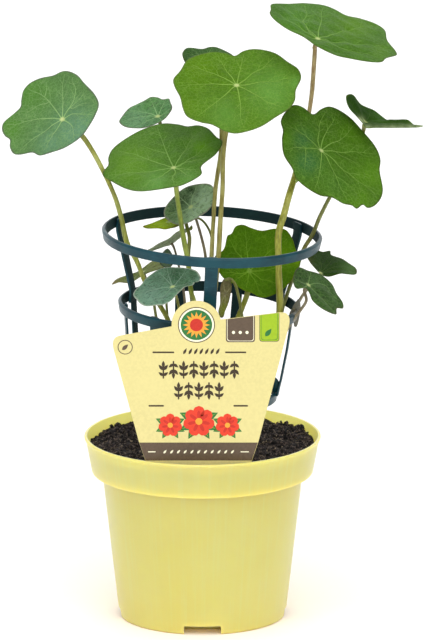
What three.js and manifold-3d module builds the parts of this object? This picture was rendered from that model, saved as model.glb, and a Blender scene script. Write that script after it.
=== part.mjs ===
// A young nasturtium in a nursery pot, with its soil, a plant label and a plastic trellis cage.
// Millimetres, +Z up. The origin is the centre of the pot's base, and the label faces -Y.
import * as THREE from 'three';
import { mergeVertices } from 'three/addons/utils/BufferGeometryUtils.js';
import Module from 'manifold-3d';

const wasm = await Module();
wasm.setup();

function degrees(angle) {
  return THREE.MathUtils.degToRad(angle);
}

// ---- driving dimensions ----
const gap = 0.35;              // clearance between pieces that touch
const rimDiameter = 120;       // pot, over the lip
const potHeight = 94;
const collarHeight = 18.8;     // the wide band below the rim
const wallThickness = 1.3;
const baseRadius = 42.3;
const waistRadius = 51;        // the wall where it meets the collar
const drainWidth = 18.7;       // arched pockets at the foot that let water out
const drainHeight = 4.7;
const drainDepth = 11.5;
const soilLevel = 88.9;
const labelPlane = -50;        // the label stands just inside the front wall
const labelThickness = 0.6;
const labelLean = degrees(1);          // its top leans forward by this angle
const trellisLean = degrees(2.5);
const trellisFoot = 88;        // height that the trellis heights below are counted from
const leafThickness = 0.9;
const roundSegments = 48;

// Leaves and stalks are laid out on a front view whose grid has 237 steps to the pot's rim. The view
// looks down by viewTilt. A grid point is [steps right, steps up] from the base's centre, and its
// depth says how many millimetres behind the pot's axis it lies.
const gridStep = rimDiameter / 237;
const viewTilt = degrees(14.3);
const sightLine = new THREE.Vector3(0, Math.cos(viewTilt), -Math.sin(viewTilt));
const viewUp = new THREE.Vector3(0, Math.sin(viewTilt), Math.cos(viewTilt));
const viewRight = new THREE.Vector3(1, 0, 0);

function gridPoint(across, up, depth) {
  const height = (up * gridStep - depth * Math.sin(viewTilt)) / Math.cos(viewTilt);
  return new THREE.Vector3(across * gridStep, depth, height);
}

// ---- materials ----
function finish(color, roughness) {
  return new THREE.MeshStandardMaterial({ color, roughness, metalness: 0 });
}

const potPlastic = finish(0xe6d982, 0.45);
const peat = finish(0x2d2626, 0.95);
const labelPlastic = finish(0xf7f1a5, 0.5);
const trellisPlastic = finish(0x2a4650, 0.5);
const leafGreen = finish(0x5f9132, 0.6);
const leafBright = finish(0x4b7805, 0.6);
const leafGrey = finish(0x6e9b6e, 0.6);
const leafBrown = finish(0x7c7344, 0.8);
const stalkGreen = finish(0xa5a546, 0.6);

const plant = new THREE.Group();

function addPiece(name, geometry, material, parent = plant) {
  const piece = new THREE.Mesh(geometry, material);
  piece.name = name;
  parent.add(piece);
  return piece;
}

// ---- joining and cutting solids ----
function toSolid(geometry) {
  const bare = geometry.clone();
  bare.deleteAttribute('normal');
  bare.deleteAttribute('uv');
  const merged = mergeVertices(bare, 1e-4);
  const mesh = new wasm.Mesh({
    numProp: 3,
    vertProperties: new Float32Array(merged.attributes.position.array),
    triVerts: new Uint32Array(merged.index.array),
  });
  return new wasm.Manifold(mesh);
}

function fromSolid(solid) {
  const mesh = solid.getMesh();
  const geometry = new THREE.BufferGeometry();
  geometry.setAttribute('position', new THREE.BufferAttribute(new Float32Array(mesh.vertProperties), 3));
  geometry.setIndex(new THREE.BufferAttribute(new Uint32Array(mesh.triVerts), 1));
  geometry.computeVertexNormals();
  return geometry;
}

function latheSolid(profile, segments = roundSegments) {
  const points = profile.map(([radius, height]) => new THREE.Vector2(radius, height));
  return new THREE.LatheGeometry(points, segments).rotateX(Math.PI / 2);
}

function boxBetween(low, high) {
  const box = new THREE.BoxGeometry(high[0] - low[0], high[1] - low[1], high[2] - low[2]);
  return box.translate((low[0] + high[0]) / 2, (low[1] + high[1]) / 2, (low[2] + high[2]) / 2);
}

function uprightCylinder(radius, low, high, x, y, sides = 12) {
  const cylinder = new THREE.CylinderGeometry(radius, radius, high - low, sides);
  return cylinder.rotateX(Math.PI / 2).translate(x, y, (low + high) / 2);
}

// ---- pot ----
const collarFoot = potHeight - collarHeight;
const rimRadius = rimDiameter / 2;
const collarFootRadius = rimRadius - 3.8;
const floorThickness = 1.6;
const potOutside = [
  [0, 0], [baseRadius - 1.3, 0], [baseRadius, 1.3], [waistRadius, collarFoot],
  [collarFootRadius - 0.3, collarFoot], [collarFootRadius, collarFoot + 0.4], [rimRadius - 0.8, potHeight - 2.2],
  [rimRadius, potHeight - 1.6], [rimRadius, potHeight - 0.4], [rimRadius - 0.4, potHeight],
];
const potInside = [
  [0, floorThickness], [baseRadius - 2.3, floorThickness], [baseRadius - 1.2, floorThickness + 0.8],
  [waistRadius - wallThickness, collarFoot + 1.5], [collarFootRadius - wallThickness, collarFoot + 1.7],
  [rimRadius - wallThickness - 0.2, potHeight - 0.4], [rimRadius - wallThickness, potHeight],
];

function potInsideRadius(height) {
  const above = potInside.findIndex(([, level], index) => index > 1 && level >= height);
  const [lowRadius, lowLevel] = potInside[above - 1];
  const [highRadius, highLevel] = potInside[above];
  return lowRadius + (highRadius - lowRadius) * (height - lowLevel) / (highLevel - lowLevel);
}

// One box per drain pocket, from its inner end out past the foot, grown by `margin` on its sides and top.
function drainBoxes(margin, bottom) {
  const inner = baseRadius - drainDepth;
  return [0, 1, 2, 3].map((quarter) => {
    const low = [inner - margin, -drainWidth / 2 - margin, bottom];
    const high = [baseRadius + 12, drainWidth / 2 + margin, drainHeight + margin];
    return boxBetween(low, high).rotateZ(quarter * Math.PI / 2);
  });
}

function makePot() {
  const outside = toSolid(latheSolid([...potOutside, [0, potHeight]]));
  const insideProfile = [...potInside, [rimRadius - wallThickness, potHeight + 5], [0, potHeight + 5]];
  let pot = outside.subtract(toSolid(latheSolid(insideProfile)));
  for (const block of drainBoxes(1.4, 0)) {
    pot = pot.add(outside.intersect(toSolid(block)));
  }
  for (const pocket of drainBoxes(0, -5)) {
    pot = pot.subtract(toSolid(pocket));
  }
  for (let quarter = 0; quarter < 4; quarter += 1) {
    for (const side of [-5, 5]) {
      const hole = uprightCylinder(2.4, 2, 12, baseRadius - 6.5, side).rotateZ(quarter * Math.PI / 2);
      pot = pot.subtract(toSolid(hole));
    }
  }
  return fromSolid(pot);
}

addPiece('pot', makePot(), potPlastic);

// A thin strip of even thickness: `spine` lists [outward, height] down its middle. It lies across Y.
function stripGeometry(spine, thickness, width) {
  const front = spine.map(([outward, height]) => new THREE.Vector2(outward + thickness / 2, height));
  const back = spine.map(([outward, height]) => new THREE.Vector2(outward - thickness / 2, height)).reverse();
  const strip = new THREE.ExtrudeGeometry(new THREE.Shape([...front, ...back]), { depth: width, bevelEnabled: false });
  return strip.rotateX(Math.PI / 2).translate(0, width / 2, 0);
}

// ---- label: a printed board with a round crown, on a stake that bends inwards below the rim ----
const labelFoot = 86;
const labelStake = { middle: -2, width: 16, foot: 45 };
const labelCrown = { x: -3, height: 164.5, radius: 12.5 };

function stakeGeometry(thickness, width, top, foot) {
  const spine = [[-labelPlane, top], [-labelPlane, labelFoot + 1], [-labelPlane - 2.6, 76], [-labelPlane - 8.5, foot]];
  return stripGeometry(spine, thickness, width).rotateZ(-Math.PI / 2).translate(labelStake.middle, 0, 0);
}

function makeLabel() {
  const outline = new THREE.Shape();
  outline.moveTo(22.4, labelFoot);
  outline.lineTo(28.3, 103.9);
  outline.lineTo(43.6, 164.5);
  outline.quadraticCurveTo(44.8, 171.6, 38.5, 170.9);
  outline.lineTo(9.2, 167.2);
  outline.absarc(labelCrown.x, labelCrown.height, labelCrown.radius, degrees(12.7), degrees(184), false);
  outline.lineTo(-41.5, 158.8);
  outline.quadraticCurveTo(-46.2, 157.8, -44.6, 151.5);
  outline.lineTo(-32.1, 103.9);
  outline.lineTo(-28, 91.2);
  outline.lineTo(-25.2, labelFoot);
  const board = new THREE.ExtrudeGeometry(outline, { depth: labelThickness, bevelEnabled: false, curveSegments: 10 });
  board.rotateX(Math.PI / 2).translate(0, labelThickness / 2, -potHeight);
  board.rotateX(labelLean).translate(0, labelPlane, potHeight);
  const stake = stakeGeometry(labelThickness, labelStake.width, labelFoot + 4, labelStake.foot);
  return fromSolid(toSolid(board).add(toSolid(stake)));
}

addPiece('plant_label', makeLabel(), labelPlastic);

// ---- trellis: three hoops, straps that join them and spikes that stand it in the soil ----
const trellis = new THREE.Group();
trellis.position.z = trellisFoot;
trellis.rotation.y = trellisLean;
plant.add(trellis);

const hoops = {
  top: { radius: 55.8, thickness: 2, low: 106.8, high: 112, flare: 0.8 },
  middle: { radius: 46, thickness: 1.8, low: 69.8, high: 75, flare: 0.7 },
  bottom: { radius: 36.6, thickness: 1.8, low: 26.4, high: 31, flare: 0.1 },
};
const strapThickness = 1.5;

for (const [place, hoop] of Object.entries(hoops)) {
  const foot = hoop.radius - hoop.flare;
  const profile = [
    [foot - hoop.thickness, hoop.low], [foot, hoop.low], [hoop.radius, hoop.high],
    [hoop.radius - hoop.thickness, hoop.high], [foot - hoop.thickness, hoop.low],
  ];
  addPiece(`trellis_ring_${place}`, latheSolid(profile), trellisPlastic, trellis);
}

// A strap is a strip that stands at `angle` round the trellis, counted from the front.
function strapGeometry(spine, width, angle) {
  return stripGeometry(spine, strapThickness, width).rotateZ(angle - Math.PI / 2);
}

function insideOf(hoop) {
  return hoop.radius - hoop.flare - hoop.thickness - gap - 0.15 - strapThickness / 2;
}

function outsideOf(hoop) {
  return hoop.radius + gap + strapThickness / 2;
}

const innerRun = insideOf(hoops.middle) - strapThickness - gap - 0.3;
const upperSpine = [
  [insideOf(hoops.top), hoops.top.high - 0.4], [insideOf(hoops.top), hoops.top.low - 0.6],
  [innerRun, hoops.middle.high + 1.5], [innerRun, hoops.middle.low + 1],
];
// Two of the upper straps turn a little round the trellis on their way down: their angles at the top and at the foot.
[[0, 0], [-117, -107.8], [123.5, 117]].forEach(([top, foot], index) => {
  const geometry = strapGeometry(upperSpine, 6.6, degrees(top));
  const places = geometry.attributes.position;
  const high = upperSpine[0][1];
  const low = upperSpine[upperSpine.length - 1][1];
  for (let i = 0; i < places.count; i += 1) {
    const turn = degrees(foot - top) * (high - places.getZ(i)) / (high - low);
    const [x, y] = [places.getX(i), places.getY(i)];
    places.setXY(i, x * Math.cos(turn) - y * Math.sin(turn), x * Math.sin(turn) + y * Math.cos(turn));
  }
  addPiece(`trellis_upper_strap_${index + 1}`, geometry, trellisPlastic, trellis);
});

const lowerSpine = [
  [insideOf(hoops.middle), hoops.middle.high - 0.4], [insideOf(hoops.middle), hoops.middle.low - 1],
  [40.9, 54], [outsideOf(hoops.bottom) + 0.9, 38], [outsideOf(hoops.bottom), hoops.bottom.high + 0.8],
  [outsideOf(hoops.bottom), hoops.bottom.low - 1.6],
];
[-160, -116.5, -80, -40, 0, 40, 82.5, 120, 160].forEach((angle, index) => {
  const name = `trellis_lower_strap_${index + 1}`;
  addPiece(name, strapGeometry(lowerSpine, 5.3, degrees(angle)), trellisPlastic, trellis);
});

const spikeSpine = [
  [insideOf(hoops.bottom), hoops.bottom.high - 0.4], [insideOf(hoops.bottom), hoops.bottom.low - 1],
  [insideOf(hoops.bottom) - 1.5, -38],
];
const spikeWidth = 5;
const spikeAngles = [0, -140, 140];
spikeAngles.forEach((angle, index) => {
  const name = `trellis_spike_${index + 1}`;
  addPiece(name, strapGeometry(spikeSpine, spikeWidth, degrees(angle)), trellisPlastic, trellis);
});

// ---- soil ----
const stemBases = { left: [-11, 4], centre: [1.5, 9], right: [20, -2] };
const stemRadii = { left: 1.8, centre: 1.9, right: 1.7 };
const stemFoot = 76;

function soilHeight(x, y) {
  const swell = 0.9 * Math.sin(0.21 * x + 0.5) * Math.cos(0.17 * y);
  const crumbs = 0.7 * Math.sin(0.37 * y - 0.29 * x);
  const hollow = -3.5 * Math.exp(-((x - 42) ** 2 + (y - 12) ** 2) / 60);
  return soilLevel + swell + crumbs + hollow;
}

function makeSoil() {
  const topRadius = potInsideRadius(soilLevel) - gap;
  const rings = [1, 0.86, 0.7, 0.53, 0.36, 0.18, 0].map((share) => [topRadius * share, soilLevel]);
  const sides = [
    [0, floorThickness + gap], [baseRadius - 2.3 - gap, floorThickness + gap],
    [potInsideRadius(4) - gap, 4], [waistRadius - wallThickness - gap, collarFoot + 1.5],
    [waistRadius - wallThickness - gap, collarFoot + 2.2], [potInsideRadius(collarFoot + 2.2) - gap, collarFoot + 2.2],
  ];
  const heap = latheSolid([...sides, ...rings]);
  const points = heap.attributes.position;
  for (let index = 0; index < points.count; index += 1) {
    const fromAxis = Math.hypot(points.getX(index), points.getY(index));
    if (points.getZ(index) > soilLevel - 0.01 && fromAxis < topRadius - 1) {
      points.setZ(index, soilHeight(points.getX(index), points.getY(index)));
    }
  }
  let soil = toSolid(heap);
  for (const block of drainBoxes(1.4 + gap, -5)) {
    soil = soil.subtract(toSolid(block));
  }
  const slot = labelThickness + 2 * gap + 1;
  const boardSlot = boxBetween([-28.3, labelPlane - slot / 2, labelFoot - gap], [25, labelPlane + slot / 2, 100]);
  const stakeSlot = stakeGeometry(slot, labelStake.width + 2 * gap, 100, labelStake.foot - gap);
  soil = soil.subtract(toSolid(boardSlot)).subtract(toSolid(stakeSlot));
  trellis.updateMatrix();
  for (const angle of spikeAngles) {
    const middle = insideOf(hoops.bottom) - 0.75;
    const reach = strapThickness / 2 + 0.75 + gap;
    const halfWidth = spikeWidth / 2 + gap;
    const pocket = boxBetween([middle - reach, -halfWidth, -38 - gap], [middle + reach, halfWidth, 12]);
    pocket.rotateZ(degrees(angle) - Math.PI / 2).applyMatrix4(trellis.matrix);
    soil = soil.subtract(toSolid(pocket));
  }
  for (const [side, [x, y]] of Object.entries(stemBases)) {
    soil = soil.subtract(toSolid(uprightCylinder(stemRadii[side] + 1, stemFoot - gap, 100, x, y)));
  }
  return fromSolid(soil);
}

addPiece('soil', makeSoil(), peat);

// ---- leaves: thin round blades that sit on their stalks like umbrellas ----
// hub and outline are grid points. tilt is the angle between the blade's face and the line of sight, and
// lean is the way the face is turned, in degrees to the right of straight up. An outline point with a
// third number lies that many millimetres behind the hub instead of on the blade's plane.
const leaves = {
  far_left: {
    hub: [-140, 495], depth: 0, tilt: 44, lean: -37, radius: 1.2,
    outline: [
      [-140, 543], [-134, 543], [-125, 539], [-118, 531], [-107, 519], [-103, 509], [-106, 499], [-112, 488],
      [-120, 477], [-136, 466], [-150, 461], [-162, 458], [-169, 461], [-182, 459], [-188, 460], [-192, 467],
      [-192, 474], [-197, 478], [-200, 484], [-199, 491], [-188, 501], [-182, 507], [-181, 515], [-179, 524],
      [-173, 531], [-163, 536], [-149, 539],
    ],
    route: [
      [-24, 232.5, 4], [-28, 262, 3], [-34, 293, 2], [-42, 308, 1], [-58, 334, 0], [-65, 352, 0], [-75, 371, 2],
      [-82, 400, 3], [-90, 424, 3], [-120, 478, 3],
    ],
  },
  left_broad: {
    hub: [-29, 447], depth: -16, tilt: 56, lean: -16, radius: 1.25,
    outline: [
      [-40, 491], [-24, 490], [-15, 488], [-5, 489], [5, 486], [14, 477], [20, 472], [14, 460], [-1, 447],
      [-1, 439], [-20, 428], [-30, 426], [-61, 422], [-74, 424], [-90, 432], [-99, 438], [-99, 442], [-94, 449],
      [-94, 456], [-90, 465], [-78, 475], [-58, 486],
    ],
    route: [[-2.6, 228.6, 5.6], [-6, 280, 2], [-9, 315, 0], [-11, 321, -1], [-15, 357, -4], [-18, 371, -5],
      [-22, 396, -8], [-26, 424, -11]],
  },
  top_centre: {
    hub: [34, 528], depth: -4, tilt: 48, lean: 2, radius: 1.2,
    outline: [
      [32, 558], [41, 563], [53, 565], [72, 561], [85, 552], [95, 545], [98, 539], [98, 534], [93, 523],
      [92, 513], [87, 505], [72, 495], [58, 486], [44, 481], [32, 479], [23, 481], [9, 488], [-1, 490],
      [-15, 496], [-20, 506], [-22, 515], [-28, 527], [-29, 534], [-22, 543], [-15, 554], [-4, 559], [11, 562],
      [22, 561],
    ],
    route: [[3, 251.5, 8], [10, 300, 3], [16, 360, 0], [18, 396, 1], [20, 425, 1], [21, 463, -1], [27, 500, -1]],
  },
  behind_centre: {
    hub: [6, 554], depth: 30, tilt: 60, lean: 7, radius: 1.1,
    outline: [
      [-20, 562], [-15, 567], [0, 566], [7, 568], [13, 568], [23, 564], [31, 559], [36, 552], [34, 546],
      [22, 542], [8, 542], [-6, 544], [-16, 550], [-20, 558],
    ],
    route: [[10, 234, 8.5], [9, 290, 9], [8, 330, 7], [9, 358, 6], [11, 396, 7], [13, 425, 8], [19, 471, 11],
      [16, 510, 18]],
  },
  left_small: {
    hub: [-45, 499], depth: 35, tilt: 60, lean: -19, radius: 1,
    outline: [
      [-51, 518], [-40, 517], [-34, 517], [-30, 509], [-31, 502], [-40, 494], [-53, 488], [-65, 486], [-78, 488],
      [-83, 492], [-82, 500], [-74, 509], [-61, 515],
    ],
    route: [[-1, 235, 11.6], [-10, 310, 11], [-14, 358, 13], [-13, 377, 16], [-16, 389, 20], [-20, 405, 28],
      [-25, 422, 34], [-33, 455, 35]],
  },
  top_right: {
    hub: [115, 575], depth: 5, tilt: 70, lean: 20, radius: 1.1,
    outline: [
      [69, 610], [87, 611], [104, 612], [123, 610], [133, 606], [144, 600], [158, 597], [173, 592], [182, 586],
      [185, 574], [193, 563], [194, 559], [183, 555], [178, 551], [166, 551], [147, 554], [133, 557], [114, 566],
      [100, 576], [84, 584], [71, 594], [67, 600], [68, 604],
    ],
    route: [[98, 458.5, 8.5], [104, 490, 14], [107, 505, 20], [109, 520, 19], [111, 546, 12], [112, 566, 8]],
  },
  right_broad: {
    hub: [119, 464], depth: 0, tilt: 49, lean: 43, radius: 1.1,
    outline: [
      [91, 509], [100, 507], [110, 500], [118, 505], [126, 508], [134, 506], [148, 497], [160, 484], [171, 471],
      [176, 462], [178, 454], [177, 444], [180, 425], [178, 416], [171, 408], [164, 406], [160, 409], [153, 405],
      [149, 408], [140, 410], [129, 416], [117, 418], [103, 426], [93, 435], [89, 445], [81, 458], [79, 474],
      [80, 483], [78, 493],
    ],
    route: [[100.3, 440, 3], [108, 450, 6]],
  },
  far_right_folded: {
    hub: [164, 496], depth: 32, tilt: 70, lean: 12, radius: 1,
    outline: [
      [144, 518, -4], [148, 520, 2], [152, 518, 6], [159, 510, 14], [173, 504, 18], [187, 494, 18],
      [205, 495, 12], [210, 493, 8], [221, 488, 0], [214, 487, -7], [192, 486, -13], [170, 487, -14],
      [160, 491, -13], [151, 500, -10], [145, 509, -8],
    ],
    route: [[66, 235, -2.5], [74, 275, 0], [80, 306, 6], [84, 318, 9], [88, 330, 10.5], [95, 349, 11.5],
      [102, 367, 10.5], [109.5, 379, 7.5], [117, 397, 7], [126, 415, 8], [140, 440, 15], [152, 465, 24],
      [160, 480, 30]],
  },
  inner_left: {
    hub: [-12, 408], depth: 19, tilt: 50, lean: -31, radius: 0.7,
    outline: [
      [-38, 398], [-38, 406], [-29, 418], [-16, 428], [6, 431], [12, 425], [12, 414], [6, 404], [-3, 398],
      [-13, 392], [-26, 390],
    ],
    route: [[7.7, 231, 11.2], [6, 290, 14], [4, 330, 15], [3, 358, 14], [-1, 377, 14], [-6, 394, 15]],
  },
  young_tip: {
    hub: [-34, 393], depth: 22, tilt: 60, lean: 2, radius: 0.6,
    outline: [
      [-60, 388], [-52, 391], [-45, 394], [-38, 397], [-30, 399], [-25, 397], [-24, 392], [-28, 388], [-37, 385],
      [-44, 386], [-56, 386],
    ],
    route: [[3, 213, 12.8], [6, 270, 18], [9, 330, 19], [10, 350, 18], [8, 381, 17], [0, 394, 22],
      [-8, 397, 27], [-17, 395, 29], [-26, 389, 27]],
  },
  edge_on: {
    hub: [-32, 373], depth: 30, tilt: 98, lean: -30, radius: 0.6,
    outline: [
      [-52, 366], [-44, 371], [-34, 376], [-25, 383], [-12, 387], [-17, 382], [-24, 376], [-32, 370],
      [-39, 368], [-50, 364], [-56, 364],
    ],
    route: [[-16.6, 217, 5], [-17, 260, 8], [-18, 316, 12], [-22, 340, 19], [-26, 358, 25]],
  },
  low_left_back: {
    hub: [-60, 343], depth: 40, tilt: 76, lean: -23, radius: 0.7,
    outline: [
      [-91, 330], [-86, 336], [-66, 343], [-50, 354], [-40, 352], [-37, 348], [-54, 342], [-62, 338],
      [-72, 332], [-86, 332],
    ],
    route: [[-26, 218, 7.6], [-36, 260, 11], [-46, 295, 15], [-49, 312, 18], [-55, 334, 27]],
  },
  low_left_front: {
    hub: [-30, 328], depth: -26, tilt: 60, lean: -22, radius: 0.7,
    outline: [
      [-50, 341], [-37, 347], [-12, 346], [-4, 343], [-2, 335], [-7, 329], [-21, 321], [-31, 314], [-45, 309],
      [-55, 308], [-65, 314], [-69, 320], [-64, 327], [-57, 335],
    ],
    route: [[-24, 211, 0.4], [-24, 262, -2], [-23, 300, -9], [-25, 314, -15]],
  },
  inner_right: {
    hub: [47, 344], depth: 4, tilt: 20, lean: 11, radius: 1.3,
    outline: [
      [25, 379], [29, 381], [33, 388], [40, 390], [48, 387], [59, 384], [72, 386], [83, 385], [90, 376],
      [93, 366], [98, 353], [96, 345], [88, 333], [79, 324], [67, 318], [58, 317], [50, 321], [41, 324],
      [33, 331], [25, 337], [19, 344], [12, 357], [21, 365], [24, 376],
    ],
    route: [[8.3, 225, 5.6], [22, 265, 4], [37, 300, 3], [44, 320, 4]],
  },
  right_small: {
    hub: [118, 342], depth: 4, tilt: 60, lean: 18, radius: 0.8,
    outline: [
      [114, 365], [120, 363], [128, 364], [129, 360], [140, 356], [146, 352], [154, 346], [153, 340],
      [140, 341], [125, 338], [119, 341], [110, 349], [107, 353], [105, 358],
    ],
    route: [[76, 262, -6], [80, 276, -3], [86, 296, 0], [93, 313.5, 1], [103, 326, 1]],
  },
  low_right: {
    hub: [106, 330], depth: -18, tilt: 62, lean: 41, radius: 0.8,
    outline: [
      [96, 347], [105, 344], [118, 340], [129, 331], [134, 321], [140, 312], [140, 306], [134, 306],
      [133, 300], [120, 305], [110, 313], [106, 322], [103, 326], [93, 326], [90, 333],
    ],
    route: [[71, 250, -12], [77, 265, -12.5], [82, 285, -13.5], [85, 300, -14.5], [91, 311, -15], [99, 314, -15.5]],
  },
  withered: {
    hub: [23, 321], depth: -18, tilt: 35, lean: 30, radius: 0.7,
    outline: [[22, 335], [27, 334], [29, 326], [27, 314], [24, 303], [20, 303], [17, 312], [17, 324], [19, 331]],
    route: [[54, 228, -7], [44, 270, -9], [37, 312, -12], [33, 332, -13], [29, 339, -15], [26, 340, -17]],
    hangs: true,
  },
  tiny: {
    hub: [-35, 354], depth: 2, tilt: 50, lean: -10, radius: 0.6,
    outline: [[-40, 362], [-35, 366], [-30, 360], [-28, 353], [-34, 346], [-42, 350], [-43, 357]],
    route: [[-30, 220, 4], [-33, 270, 8], [-36, 310, 9], [-37, 335, 6]],
  },
};

function facing({ tilt, lean }) {
  const turned = degrees(tilt);
  const side = degrees(lean);
  return sightLine.clone().multiplyScalar(-Math.cos(turned))
    .addScaledVector(viewRight, Math.sin(turned) * Math.sin(side))
    .addScaledVector(viewUp, Math.sin(turned) * Math.cos(side));
}

function rimPoints(leaf) {
  const hub = gridPoint(...leaf.hub, leaf.depth);
  const normal = facing(leaf);
  return leaf.outline.map(([across, up, behind]) => {
    if (behind !== undefined) {
      return gridPoint(across, up, leaf.depth + behind);
    }
    const point = gridPoint(across, up, leaf.depth);
    const slide = -point.clone().sub(hub).dot(normal) / sightLine.dot(normal);
    return point.addScaledVector(sightLine, slide);
  });
}

// The direction square to a closed loop of points, seen from the side where it runs anticlockwise.
function loopNormal(loop) {
  const normal = new THREE.Vector3();
  loop.forEach((point, index) => {
    normal.add(point.clone().cross(loop[(index + 1) % loop.length]));
  });
  return normal.normalize();
}

function makeLeaf(leaf) {
  const hub = gridPoint(...leaf.hub, leaf.depth);
  const rim = rimPoints(leaf);
  const count = rim.length;
  const offset = loopNormal(rim.map((point) => point.clone().sub(hub))).multiplyScalar(leafThickness / 2);
  const positions = [];
  for (const side of [1, -1]) {
    for (const share of [1, 0.5]) {
      for (const point of rim) {
        positions.push(...hub.clone().lerp(point, share).addScaledVector(offset, side));
      }
    }
    positions.push(...hub.clone().addScaledVector(offset, side));
  }
  const back = 2 * count + 1;
  const faces = [];
  for (let index = 0; index < count; index += 1) {
    const next = (index + 1) % count;
    faces.push(index, next, count + next, index, count + next, count + index);
    faces.push(count + index, count + next, 2 * count);
    faces.push(back + next, back + index, back + count + next, back + index, back + count + index, back + count + next);
    faces.push(back + count + next, back + count + index, back + 2 * count);
    faces.push(next, index, back + next, index, back + index, back + next);
  }
  const blade = new THREE.BufferGeometry();
  blade.setAttribute('position', new THREE.Float32BufferAttribute(positions, 3));
  blade.setIndex(faces);
  blade.computeVertexNormals();
  return blade;
}

// ---- stems and stalks ----
function tube(points, radius) {
  const path = new THREE.CatmullRomCurve3(points, false, 'centripetal');
  const section = new THREE.Shape().absarc(0, 0, radius, 0, 2 * Math.PI, false);
  const steps = Math.max(5, Math.round(path.getLength() / 11));
  return new THREE.ExtrudeGeometry(section, { steps, extrudePath: path, curveSegments: 4 });
}

function makeStem(side, upper) {
  const [x, y] = stemBases[side];
  const buried = [new THREE.Vector3(x, y, stemFoot), new THREE.Vector3(x, y, 96)];
  return tube([...buried, ...upper], stemRadii[side]);
}

const rightStem = [
  [60, 225, -6], [73, 275, -10], [77, 303, -12], [76, 345, -13], [76, 381, -10], [81, 399, -6], [87, 421, -2],
  [92, 437, 3], [97, 455, 8],
].map((point) => gridPoint(...point));
addPiece('stem_left', makeStem('left', [new THREE.Vector3(-12, 4, 119)]), stalkGreen);
addPiece('stem_centre', makeStem('centre', [new THREE.Vector3(1.5, 8, 128)]), stalkGreen);
addPiece('stem_right', makeStem('right', rightStem), stalkGreen);

// A stalk ends square to its blade, just under the hub. A hanging one ends at its last route point.
function makeStalk(leaf) {
  const points = leaf.route.map((point) => gridPoint(...point));
  if (!leaf.hangs) {
    const hub = gridPoint(...leaf.hub, leaf.depth);
    const under = facing(leaf).negate();
    points.push(hub.clone().addScaledVector(under, Math.min(5, leaf.radius * 4)));
    points.push(hub.clone().addScaledVector(under, leafThickness / 2 + 0.9));
  }
  return tube(points, leaf.radius);
}

const leafColours = { inner_right: leafBright, young_tip: leafBright, withered: leafBrown };
const greyLeaves = ['left_small', 'edge_on', 'low_left_back', 'low_left_front', 'low_right'];
for (const [place, leaf] of Object.entries(leaves)) {
  const colour = greyLeaves.includes(place) ? leafGrey : leafColours[place] ?? leafGreen;
  addPiece(`leaf_${place}`, makeLeaf(leaf), colour);
  addPiece(`stalk_${place}`, makeStalk(leaf), stalkGreen);
}

export default plant;
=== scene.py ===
import math
import random

import bpy
import numpy as np
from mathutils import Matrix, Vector, noise


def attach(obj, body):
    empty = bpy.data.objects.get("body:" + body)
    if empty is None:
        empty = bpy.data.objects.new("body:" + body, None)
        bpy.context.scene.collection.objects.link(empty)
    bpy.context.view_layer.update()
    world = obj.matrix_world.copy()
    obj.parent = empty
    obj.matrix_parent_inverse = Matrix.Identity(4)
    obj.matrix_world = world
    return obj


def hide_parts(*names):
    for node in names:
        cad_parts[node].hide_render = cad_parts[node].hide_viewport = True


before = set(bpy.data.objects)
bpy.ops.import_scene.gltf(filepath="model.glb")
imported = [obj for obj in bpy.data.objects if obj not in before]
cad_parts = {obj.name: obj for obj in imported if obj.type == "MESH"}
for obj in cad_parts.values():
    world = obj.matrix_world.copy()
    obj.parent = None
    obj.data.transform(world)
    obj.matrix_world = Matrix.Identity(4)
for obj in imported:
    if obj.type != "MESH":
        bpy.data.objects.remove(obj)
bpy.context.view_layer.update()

print("frame loaded")

mm = 0.001  # lengths below are millimetres and become metres when a mesh is made

# The front view that leaves and stalks are laid out on, looking down by viewTilt. A step of its grid is a
# 237th of the pot's rim, which is 120 mm across.
gridStep = 120 / 237
viewTilt = math.radians(14.3)
sightLine = np.array([0, math.cos(viewTilt), -math.sin(viewTilt)])
viewUp = np.array([0, math.sin(viewTilt), math.cos(viewTilt)])
viewRight = np.array([1.0, 0, 0])


def gridPoint(across, up, depth):
    height = (up * gridStep - depth * math.sin(viewTilt)) / math.cos(viewTilt)
    return np.array([across * gridStep, depth, height])


def unit(vector):
    return vector / np.maximum(np.linalg.norm(vector, axis=-1, keepdims=True), 1e-12)


# A smooth curve through points that may be unevenly spaced.
def throughPoints(points, perSpan=12, closed=False):
    points = np.asarray(points, float)
    if closed:
        padded = np.vstack([points[-1:], points, points[:2]])
    else:
        padded = np.vstack([2 * points[0] - points[1], points, 2 * points[-1] - points[-2]])
    pieces = []
    for index in range(len(padded) - 3):
        p0, p1, p2, p3 = padded[index:index + 4]
        t1 = max(np.linalg.norm(p1 - p0), 1e-9) ** 0.5
        t2 = t1 + max(np.linalg.norm(p2 - p1), 1e-9) ** 0.5
        t3 = t2 + max(np.linalg.norm(p3 - p2), 1e-9) ** 0.5
        t = np.linspace(t1, t2, perSpan, endpoint=False)[:, None]
        a1 = ((t1 - t) * p0 + t * p1) / t1
        a2 = ((t2 - t) * p1 + (t - t1) * p2) / (t2 - t1)
        a3 = ((t3 - t) * p2 + (t - t2) * p3) / (t3 - t2)
        b1 = ((t2 - t) * a1 + t * a2) / t2
        b2 = ((t3 - t) * a2 + (t - t1) * a3) / (t3 - t1)
        pieces.append(((t2 - t) * b1 + (t - t1) * b2) / (t2 - t1))
    if not closed:
        pieces.append(padded[-2:-1])
    return np.vstack(pieces)


# The same line as a number of evenly spaced points.
def evenly(points, count, closed=False):
    if closed:
        points = np.vstack([points, points[:1]])
    steps = np.linalg.norm(np.diff(points, axis=0), axis=1)
    along = np.concatenate([[0], np.cumsum(steps)])
    wanted = np.linspace(0, along[-1], count, endpoint=not closed)
    return np.column_stack([np.interp(wanted, along, column) for column in points.T])


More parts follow.
